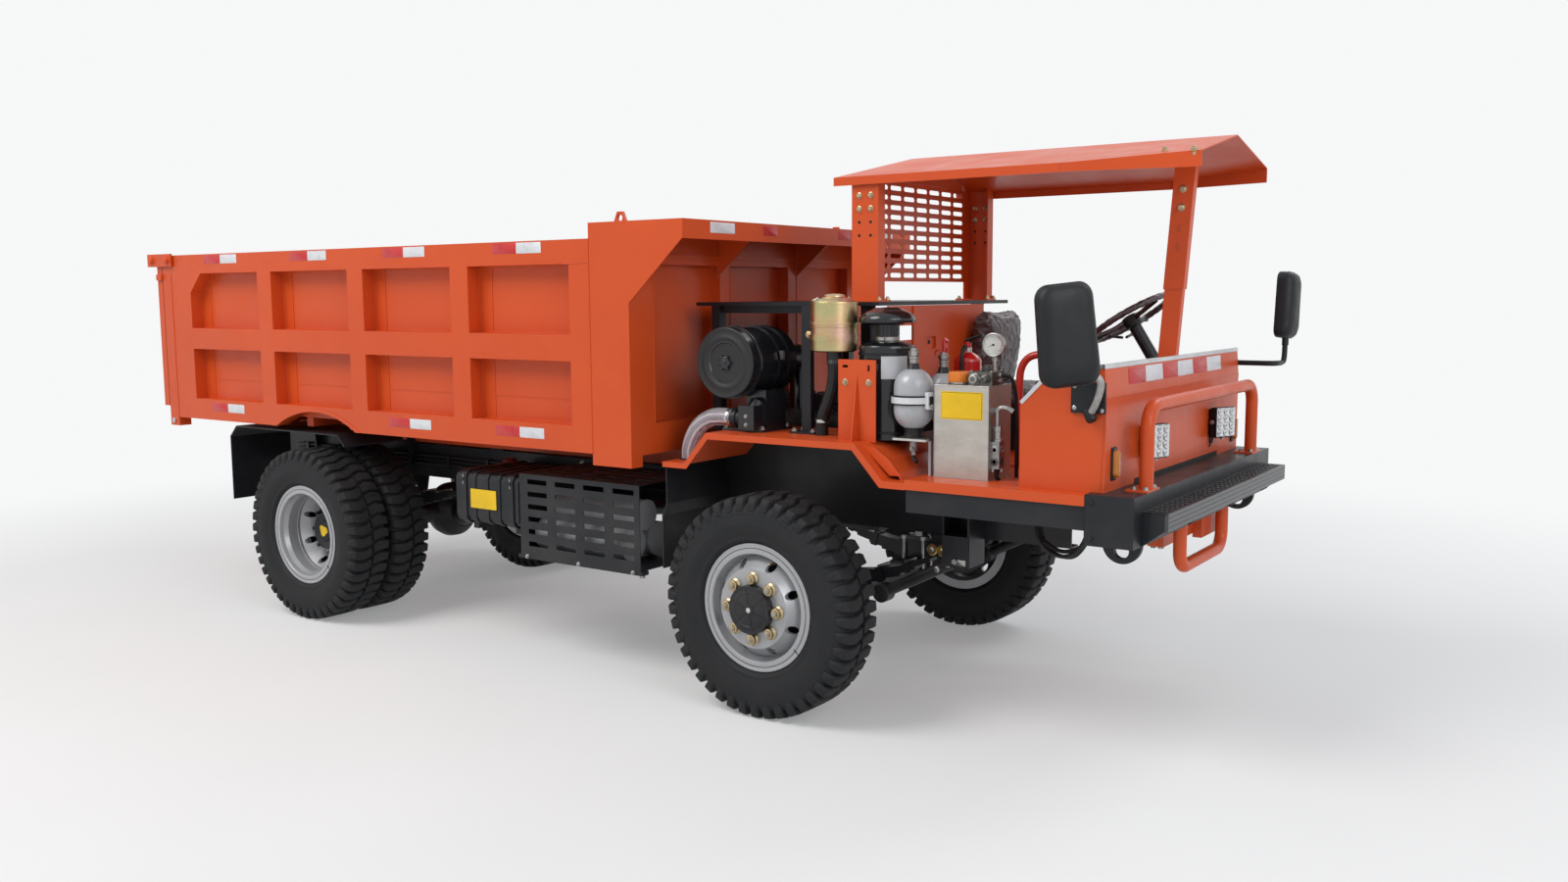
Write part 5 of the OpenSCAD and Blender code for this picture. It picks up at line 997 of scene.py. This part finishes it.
# red hand rail beside the driver's place, and two pipes that leave the valve block
b.tube([(4196, -300, DECK_Z), (4196, -300, 1300), (4197, -300, 1500), (4206, -300, 1572), (4240, -300, 1618),
        (4297, -300, 1634), (4380, -300, 1628), (4440, -300, 1600), (4470, -300, 1545), (4474, -300, 1450),
        (4474, -300, DECK_Z)], 17, 16, 8)
for x in (4196, 4474):
    b.lathe((x, -300, 1125), Z, [(-0.5, 34), (5, 34), (6, 32), (7, 20)], 32, 8)
b.tube([(4230, -650, 1548), (4230, -620, 1548), (4226, -590, 1530), (4222, -560, 1470), (4220, -552, 1300),
        (4220, -552, DECK_Z)], 11, 12, 6)
b.tube([(4284, -680, 1560), (4310, -676, 1560), (4330, -660, 1540), (4338, -640, 1460), (4340, -632, 1300),
        (4340, -632, DECK_Z)], 8, 10, 6)
b.done()

# Extinguisher: neck, handle, hose, band
b = Build("extinguisher_trim", STEEL, HOSE_BLACK, RED)
can = (3860, -150, 0)
b.plug(can, Z, DECK_Z, 1134, 67, 1136, 65.4, 40, 1)
b.lathe(can, Z, [(1586, 65.4), (1596, 64), (1612, 52), (1624, 34), (1632, 22)], 40, 2)
b.lathe(can, Z, [(1630, 20), (1650, 20), (1652, 17), (1672, 16), (1674, 12)], 24)
b.box((3840, 3936), (-160, -140), (1674, 1680), 1)
b.tube([(3846, -150, 1684), (3880, -150, 1694), (3934, -150, 1712)], 7, 8, 1)
b.tube([(3860, -168, 1655), (3862, -200, 1650), (3866, -222, 1600), (3866, -224, 1460), (3862, -222, 1330)],
       9, 10, 1)
b.lathe((3862, -222, 1330), -Z, [(-10, 12), (40, 16), (60, 20), (62, 17)], 20, 1)
b.band((3860, -150, 1410), Z, 14, 65.6, 1.8, 40)
b.box((3652, 3800), (-160, -140), (1396, 1424))
b.done()

# Mirrors: crowned housings with their glass, brackets and arms

# A housing's sections: share of its depth, narrower by, corner radius as a share of the smaller size
HOUSING = ((-0.50, 10, 0.22), (-0.46, 2, 0.24), (-0.30, 0, 0.24), (0.02, 2, 0.25), (0.20, 12, 0.27),
           (0.34, 30, 0.30), (0.43, 58, 0.34), (0.485, 100, 0.40), (0.50, 150, 0.46))


def housing(b, centre, w, h, deep, facing, lean):
    """A mirror's housing with its glass and the seam round it; its back faces the way that facing gives."""
    back = Vector((cos(radians(facing)), sin(radians(facing)), 0))
    turn = Matrix.Rotation(radians(lean), 3, back)
    u, up = turn @ Vector((-back.y, back.x, 0)), turn @ Z

    def section(depth, outline):
        return [Vector(centre) + back * depth + u * i * (0.96 - 0.08 * k / h) + up * k for i, k in outline]

    b.rings([section(deep * t, rounded(w - q, h - q, (min(w, h) - q) * r, 8)) for t, q, r in HOUSING])
    b.rings([section(-(deep * 0.5 + t), rounded(w - 26, h - 26, 40, 8)) for t in (0, 1.6)], 1)
    b.rings([section(deep * (0.04 + 0.02 * t), rounded(w + 1.5 - t, h + 1.5 - t, w * 0.25, 8))
             for t in (0, 1)], 3)


b = Build("mirror_housings", PLASTIC, CHROME, DULL, SATIN)
housing(b, (4732, -1043, 1747), 236, 392, 74, -46, 6)
housing(b, (5017, 1055, 1838), 176, 326, 84, -4, -5)
b.box((4690, 4829), (-900, -886), (1440, 1560))
for x, z in ((4704, 1460), (4704, 1545), (4816, 1452)):
    b.lathe((x, -900, z), -Y, [(-1, 9), (1.2, 9), (3.4, 6), (3.6, 0)], 20, 2)
b.tube([(4768, -912, 1430), (4790, -918, 1462), (4812, -926, 1510), (4822, -932, 1560), (4806, -950, 1590),
        (4768, -985, 1600)], 15, 16, 2)
b.lathe((4772, -912, 1436), (0.4, -0.2, -0.6), [(-22, 20), (20, 22), (28, 18)], 20)
b.slab((4752, -990, 1600), X, Y, Z, rounded(70, 34, 14), (-48, 20))
b.tube([(4740, 898, 1555), (4900, 898, 1555), (4976, 900, 1555), (5000, 926, 1555), (5000, 1026, 1555),
        (5004, 1050, 1580), (5006, 1052, 1700)], 13, 16)
b.plug((4740, 898, 1555), X, 0, 80, 17, 82, 14, 24)
b.plug((5006, 1052, 1640), Z, 0, 50, 16, 52, 12, 24)
b.box((4744, 4776), (887, 911), (1530, 1580))
b.done("truck", ["mirror_right", "mirror_left"])

# End plates that close the curved fairings, and a backing behind the rear window with a small square hole,
# drawn as a dark square of painted shade
b = Build("fairing_ends", ORANGE, SHADE_AND_PRINT_BLACK)
FAIRING = [(3700, 1261), (3730, 1262), (3798, 1243), (3868, 1196), (3914, 1142), (3932, 1129), (3868, 1128),
           (3722, 1258)]
for s in (-1, 1):
    b.slab(NOWHERE, X, Z, Y * s, FAIRING, (884, 892))
b.box((3635, 3641), (-190, -70), (1630, 1710))
# the square hole: a dark square of painted shade
b.box((3640, 3642.5), (-142, -120), (1664, 1682), 1)
# rear panel's wing behind the filter, with its window, and the header above the slotted screen
for y, z in (((-530, -466), (1126, PANEL_TOP)), ((-300, -296), (1126, PANEL_TOP)),
             ((-466, -300), (1126, 1690)), ((-466, -300), (1758, PANEL_TOP)),
             ((-298, 428), (1845, PANEL_TOP))):
    b.box((3641, 3645), y, z)
b.box((3645, 3648), (-530, -516), (1126, PANEL_TOP))
eave = 2558 - ROOF_FALL * 440 / ROOF_EDGE
b.slab(NOWHERE, Y, Z, X, [(-440, 2436), (440, 2436), (440, eave), (0, 2556), (-440, eave)], (3516, 3520))
b.done()

# Springs: clips and U-bolts; bushes in front of the front axle
b = Build("spring_fittings", BLACK, DULL, BRASS)
# Axle, height of the lowest leaf, leaves, their bend's radius, foot of the U-bolts
SPRINGS = ((FRONT_AXLE, 489, 7, 1225.0, 388), (0, 586, 8, 4400.0, 430))
for s in (-1, 1):
    y = s * 392.5
    for axle, low, leaves, radius, foot in SPRINGS:
        for side in (-1, 1):
            # clips: distance from the axle, leaves that they hold
            for dx, k in ((400, 3), (250, 5)):
                x = axle + side * dx
                z = low + 12 * leaves + radius - sqrt(radius ** 2 - dx ** 2) - 6 * k
                a = side * asin(dx / radius)
                b.oblong((x, y, z), (cos(a), 0, sin(a)), Y, (34, 82, 12 * k + 14))
                b.bar((x, y - 48, z + 6 * k + 14), (x, y + 48, z + 6 * k + 14), 7, 10, 1)
        top = low + 12 * leaves
        b.oblong((axle, y, top + 10), X, Y, (170, 96, 18))
        for dx in (-58, 58):
            for dy in (-44, 44):
                at = Vector((axle + dx, y + dy, 0))
                b.bar(at + Z * (foot - 8), at + Z * (top + 26), 9, 12, 1)
                b.plug(at + Z * (foot + 2), -Z, -6, 12, 16, 14, 12, 6, 1)
                b.plug(at + Z * (top + 18), Z, 0, 14, 16, 16, 12, 6, 1)
        if axle == 0:
            b.oblong((axle, y, 437), X, Y, (150, 120, 14))
    for x in (3842, 3894, 3946):
        b.lathe((x, s * 449, 728), Y * s, [(-6, 27), (8, 27), (12, 23), (12, 15), (9, 14)], 28, 2)
        b.lathe((x, s * 449, 728), Y * s, [(0, 13), (14, 12), (16, 9)], 16, 2 if x == 3894 else 1)
    b.oblong((3894, s * 448, 728), X, Z, (168, 66, 10))
# inclined link in front of the front axle, and its bracket, on each side
for s in (-1, 1):
    y = s * 540
    b.bar((3640, y, 520), (4020, y, 712), 27, 20)
    b.lathe((3634, y - 34, 517), Y, [(0, 40), (3, 44), (65, 44), (68, 40)], 32)
    b.lathe((4030, y - 32, 717), Y, [(0, 36), (3, 40), (61, 40), (64, 36)], 32)
    for x, z in ((3930, 667), (3985, 695)):
        b.plug((x, y + s * 24, z), Y * s, 0, 12, 15, 14, 12, 6, 1)
    inner, outer = s * 430, s * 582
    b.box((3622, 3646), sorted((inner, y)), (505, 529))
    b.box((3960, 3970), sorted((inner, outer)), (690, 990))
    b.box((4086, 4096), sorted((inner, outer)), (690, 990))
    b.box((3962, 4094), (outer - 4, outer + 4), (690, 830))
    b.box((3962, 4094), sorted((inner, s * 580)), (820, 830))
    b.plate((4052, s * 586.2, 712), -X * s, Z, 56, 26, 1.0, 1)
    b.bar((4030, y - 60, 717), (4030, y + 46, 717), 12, 12, 1)
b.done()

# Brake chambers, air lines and clamps along the chassis
b = Build("chassis_lines", BLACK, HOSE_BLACK, DULL, CAST)
for s in (-1, 1):
    y = s * 300
    b.lathe((-170, y, 640), (-1, 0, 0.2),
            [(0, 40), (10, 74), (46, 80), (52, 84), (60, 84), (66, 78), (112, 70), (122, 40)], 32, 3)
    b.bar((-170, y, 640), (-60, y, 600), 12, 12, 2)
    for z, r in ((880, 9), (905, 7), (930, 9)):
        b.tube([(-1000, s * 448, z), (0, s * 449, z + 4), (1100, s * 447, z), (2000, s * 450, z - 6),
                (2600, s * 448, z)], r, 8, 1, 5)
    for x in range(-900, 2600, 350):
        b.box((x, x + 24), sorted((s * 428, s * 464)), (866, 944))
for x, z in ((1607, 975), (2420, 960), (2470, 960), (2590, 960)):
    b.bolt((x, -430, z), -Y, 14, 2)
b.done()

# Hanging loops of three hoses behind the bumper
HANG_Z = 992
for k, (dy, dz) in enumerate(((0, 0), (24, 16), (44, -10))):
    b = Build("hose_loop_%d" % k, HOSE_BLACK)
    y = -700 + dy
    loop = [(4694, y, HANG_Z), (4690, y, 940), (4668, y, 880), (4622, y, 832 + dz), (4566, y, 822 + dz),
            (4508, y, 846 + dz), (4470, y, 900), (4456, y + 30, HANG_Z)]
    b.tube(loop, 9, 12)
    o = b.done()

# Fuel tank, guard, bumper and step
b = Build("side_trim", YELLOW, DULL, RED_BROWN, BLACK, GREY_STEP, SHADE_AND_PRINT_BLACK)
b.plate((1378, -958.6, 818), -X, Z, 200, 104, 0.9, 0, 4)
b.lathe((1205, -600, 960), Z, [(-1, 44), (8, 44), (10, 40), (26, 40), (30, 34), (31, 0)], 32, 2)
for x in (1219, 1583):
    b.box((x - 9, x + 9), (-961, -950), (906, 928), 3)
    b.bar((x, -956, 890), (x, -956, 944), 4, 10, 1)
for x in (1700, 2070, 2440):
    b.bolt((x, -954, 541), -Y, 12, 1)
b.plug((2480, -930, 530), -Z, -1, 14, 14, 16, 10, 6, 1)
# three dark lines along the step's front face: painted shade in its grooves
for z in (1012, 1031, 1050):
    b.box((5072, 5074), (-858, 858), (z, z + 1.6), 5)
for row in range(4):
    for i in range(28):
        y = -810 + i * 60
        # every second row leaves out one place on each side
        if row % 2 or not 300 < abs(y) < 380:
            b.plate((4990 + row * 20, y, 1066), X, Y, 7, 34, 2.6, 4)
for y in (-600, -200, 200, 600):
    b.bolt((5030, y, 996), -Z, 14, 1)
for s in (-1, 1):
    b.bar((4775, s * 951.5, 931), (4775, s * 951.5, 1130), 1.6, 6, 3)
    for z in (960, 1100):
        b.bolt((4800, s * 951, z), Y * s, 12, 3)
b.done()

# Engine's dress: belts, fan shroud, pipes, filters, radiator's fins
b = Build("engine_dress", HOSE_BLACK, DULL, CAST, RUST, BLACK, PALE)
# Row, height and radius of the pulleys, in the order of the belts' way round them
PULLEYS = [(-266, 1080, 46), (0, 1000, 96), (0, 1210, 76)]
for (y0, z0, r0), (y1, z1, r1) in zip(PULLEYS, PULLEYS[1:] + PULLEYS[:1]):
    out = unit((0, z1 - z0, y0 - y1))
    for x in (3368, 3388):
        b.bar(Vector((x, y0, z0)) + out * r0, Vector((x, y1, z1)) + out * r1, 6, 8)
b.lathe((3404, 0, 1210), X, [(0, 236), (4, 240), (52, 252), (54, 246), (6, 234)], 56, 4, closed=True)
for x in range(2767, 3263, 165):
    b.tube([(x, -100, 1345), (x, -140, 1352), (x + 10, -170, 1330), (x + 30, -176, 1240),
            (x + 60, -232, 1160)], 5, 8, 1)
    for dx in (-40, 40):
        b.plug((x + dx, 0, 1390), Z, -1, 8, 10, 10, 7, 6, 1)
    b.tube([(x, 120, 1255), (x, 170, 1275), (x, 205, 1262)], 30, 14, 3)
for x in (2900, 3040):
    b.lathe((x, -262, 1020), -Z, [(0, 40), (4, 44), (150, 44), (156, 36)], 28, 5)
b.box((2850, 3090), (-270, -230), (1012, 1050), 2)
for s in (-1, 1):
    for x in (2700, 2900, 3100, 3300):
        b.bolt((x, s * 232, 1090), Y * s, 13, 1)
for y in range(-300, 301, 24):
    b.box((3546, 3548.4), (y, y + 3), (1170, 1500), 1)
b.lathe((3504, 180, 1580), Z, [(-1, 26), (10, 26), (12, 22), (16, 32), (26, 32), (30, 26)], 28, 1)
b.tube([(3300, 205, 1250), (3360, 214, 1240), (3400, 240, 1200), (3420, 262, 1120), (3470, 270, 1100)],
       26, 14)
b.done()

# Cab's small things: dash dials and switches, pedals, stalks, levers
b = Build("cab_controls", PLASTIC, STEEL, DIAL, HOSE_BLACK, RED)
for y, r in ((280, 34), (380, 52), (490, 34)):
    b.lathe((4649, y, 1452), -X, [(-2, r + 5), (4, r + 5), (6, r + 2), (6, r), (2, r)], 40, 1)
    b.lathe((4649, y, 1452), -X, [(0, r), (2.4, r), (2.4, 0)], 40, 2)
    b.bar((4646, y, 1452), (4646, y + r * 0.6, 1452 + r * 0.4), 1.4, 6, 4)
for k in range(5):
    b.plug((4649, 250 + k * 22, 1414), -X, -2, 10, 7, 14, 5, 14)
for y in (320, 480):
    b.bar((4610, y, 1360), (4560, y, 1200), 10)
    b.slab((4552, y, 1190), Y, X * 0.35 + Z, X, rounded(84, 96, 12), (-6, 6))
    for k in range(5):
        b.box((4541 + k * 5, 4548 + k * 5), (y - 34, y + 34), (1158 + k * 15, 1163 + k * 15), 3)
b.bar((4420, 430, 1690), (4400, 560, 1700), 7)
b.lathe((4400, 560, 1700), (-0.15, 1, 0.08), [(0, 9), (20, 12), (30, 9), (32, 0)], 20)
b.bar((4420, 370, 1690), (4400, 250, 1700), 7)
for y in (140, 176):
    b.bar((4080, y, 1125), (4100, y, 1440), 8, 12, 1)
    b.lathe((4100, y, 1440), (0.06, 0, 1), [(-2, 12), (10, 22), (30, 24), (44, 16), (48, 0)], 24)
b.box((4040, 4130), (110, 205), (DECK_Z, 1180))
b.done()

# Hand wheel's wrapped grip, button and spokes
b = Build("wheel_grip", WRAP, PLASTIC)
tilt = radians(32)
hub, axis = Vector((4460, 400, 1760)), Vector((-sin(tilt), 0, cos(tilt)))
u, w = across(axis)
grip = []
for t in [2 * pi * i / 200 for i in range(200)]:
    d = u * cos(t) + w * sin(t)
    ring = []
    for k in range(12):
        r = 15.2 + 1.3 * sin(t * 31 + k) * sin(t * 7)
        ring.append(hub + axis * 26 + d * (210 + r * cos(pi * k / 6)) + axis * r * sin(pi * k / 6))
    grip.append(ring)
b.rings(grip, closed=True)
b.lathe(hub + axis * 18, axis, [(0, 44), (10, 44), (16, 40), (20, 30), (21, 0)], 36, 1)
for t in (radians(90), radians(210), radians(330)):
    p = Vector((cos(tilt) * cos(t), sin(t), sin(tilt) * cos(t)))
    b.tube([hub + axis * 20 + p * 34, hub + axis * 14 + p * 100, hub + axis * 24 + p * 200], 12, 12)
b.done("hand_wheel")

# Seat: steel base, cushion and backrest under their wrinkled wrap
b = Build("seat_base", PLASTIC, STEEL)
b.box((3740, 4040), (236, 428), (1125, 1300))
b.box((3730, 4050), (228, 429), (1300, 1338))
for y in (250, 410):
    b.box((3720, 4060), (y - 8, y + 8), (1288, 1300), 1)
b.bar((4040, 300, 1296), (4072, 300, 1300), 8, 12, 1)
b.box((3672, 3700), (330, 470), (1330, 1500))
b.done("truck", ["seat"])


def pillow(name, at, size, lean, seed):
    """A rounded block of padding, blown up a little as cloth, then creased like loose plastic film."""
    rows = 14
    length, width, height = size
    block = Build(name)
    rings = []
    for i in range(rows + 1):
        t = -1 + 2 * i / rows
        end = max(sqrt(1 - abs(t) ** 6), 0.35)
        rings.append([(x * end / 1000, y * (0.75 + 0.25 * end) / 1000, t * height / 2000)
                      for x, y in rounded(length, width, min(length, width) * 0.32, 5)])
    block.rings(rings)
    mesh = bpy.data.meshes.new(name)
    mesh.from_pydata(block.v, [], block.f)
    mesh.transform(Matrix.LocRotScale(P(*at), Euler((0, -radians(lean), 0)), None))
    o = put_in_scene(name, mesh)
    even = o.modifiers.new("even", "REMESH")
    even.mode = "VOXEL"
    even.voxel_size = 0.006
    cloth = o.modifiers.new("cloth", "CLOTH").settings
    cloth.use_pressure = True
    cloth.uniform_pressure_force = 4
    cloth.effector_weights.gravity = 0
    cloth.tension_stiffness = 40
    cloth.bending_stiffness = 4
    cloth.shrink_min = 0.01
    for f in range(1, 21):
        scene.frame_set(f)
    out = bpy.data.meshes.new_from_object(o.evaluated_get(bpy.context.evaluated_depsgraph_get()))
    scene.frame_set(1)
    o.modifiers.clear()
    o.data = out
    co = np.array([v.co for v in out.vertices])
    push = []
    for q in map(Vector, co):
        warp = noise_vector(q * 9 + X * seed) * 0.035
        crease = abs(value_noise(Vector((q.x * 16, q.y * 26, q.z * 6 + seed)) + warp * 60))
        fine = abs(value_noise((q + warp) * 42))
        push.append([0.0042 * max(0.0, 1 - crease * 4) + 0.0008 * max(0.0, 1 - fine * 4)])
    out.vertices.foreach_set("co", (co + np.array([v.normal for v in out.vertices]) * push).ravel())
    out.polygons.foreach_set("use_smooth", [True] * len(out.polygons))
    out.materials.clear()
    out.materials.append(WRAP.material)
    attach(o, "truck")
    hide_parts("seat")


pillow("seat_cushion", (3890, 400, 1386), (330, 400, 92), 0, 3.0)
pillow("seat_backrest", (3732, 400, 1612), (100, 400, 420), -7, 11.0)

# Camera, from the photograph's solved view; its focal length was solved in pixels of a picture 1600 wide
camera = put_in_scene("camera", bpy.data.cameras.new("camera"))
bearing, pitch, roll = radians(-35.05), radians(-6.49), radians(-0.36)
ahead = Vector((sin(bearing) * cos(pitch), cos(bearing) * cos(pitch), sin(pitch)))
right = ahead.cross(Z).normalized()
up = right.cross(ahead)
turned_right, turned_up = cos(roll) * right + sin(roll) * up, cos(roll) * up - sin(roll) * right
camera.matrix_world = Matrix((
    (turned_right.x, turned_up.x, -ahead.x, 4.9326), (turned_right.y, turned_up.y, -ahead.y, -5.6442),
    (turned_right.z, turned_up.z, -ahead.z, 1.9052), (0, 0, 0, 1)))
camera.data.sensor_width = 36.0
camera.data.lens = 1313.0 / 1600.0 * 36.0
camera.data.clip_end = 200
scene.camera = camera
scene.view_settings.view_transform = "Standard"

# Studio: a pale floor that fades into the white backdrop, soft lamps
s = material("floor_pale")
s.put("Roughness", 0.9)
s.put("Base Color", s.mix(s.ramp(s.noise(0.7, 6), 0.3, 0.7), (0.80, 0.80, 0.80), (0.77, 0.77, 0.77)))
s.bump(s.noise(30, 6, 0.7), 0.04, 0.002)
x, y = s.xyz()[:2]
fade = s.node("MapRange", Value=s.length(x, y), From_Min=3.6, From_Max=8.5, To_Min=0.25)
fade.interpolation_type = "SMOOTHSTEP"
over = s.node("MixShader")
s.put(over.inputs[0], s.times(s.seen_directly(), fade.outputs["Result"]))
s.put(over.inputs[1], s.main.outputs[0])
s.put(over.inputs[2], s.node("Emission", Color=BRIGHT).outputs[0])
s.put(s.tree.nodes["Material Output"].inputs["Surface"], over.outputs[0])
bpy.ops.mesh.primitive_plane_add(size=160)
floor = bpy.context.object
floor.name = "studio_floor"
floor.data.materials.append(s.material)

scene.world = bpy.data.worlds.new("studio")
scene.world.use_nodes = True
s = Shader(scene.world.node_tree)
sky = s.tree.nodes["Background"]
s.put(sky.inputs["Color"], (0.88, 0.91, 0.95))
s.put(sky.inputs["Strength"], 0.46)
over = s.node("MixShader")
s.put(over.inputs[0], s.seen_directly())
s.put(over.inputs[1], sky.outputs[0])
s.put(over.inputs[2], s.node("Background", Color=BRIGHT).outputs[0])
s.put(s.tree.nodes["World Output"].inputs["Surface"], over.outputs[0])

for name, at, target, size, power, color in (
        ("key", (-3.0, -7.0, 9.5), (0, 0, 1), 6.5, 800, (1.0, 0.98, 0.95)),
        ("fill", (9.0, -4.0, 5.0), (1, 0, 1), 6.0, 265, (0.96, 0.98, 1.0)),
        ("back", (5.0, 7.5, 9.5), (0, 0, 1), 6.0, 320, (0.96, 0.98, 1.0))):
    lamp = bpy.data.lights.new(name, "AREA")
    lamp.shape = "DISK"
    lamp.size, lamp.energy, lamp.color = size, power, color
    o = put_in_scene(name, lamp)
    o.location = at
    o.rotation_euler = (Vector(target) - Vector(at)).to_track_quat("-Z", "Y").to_euler()
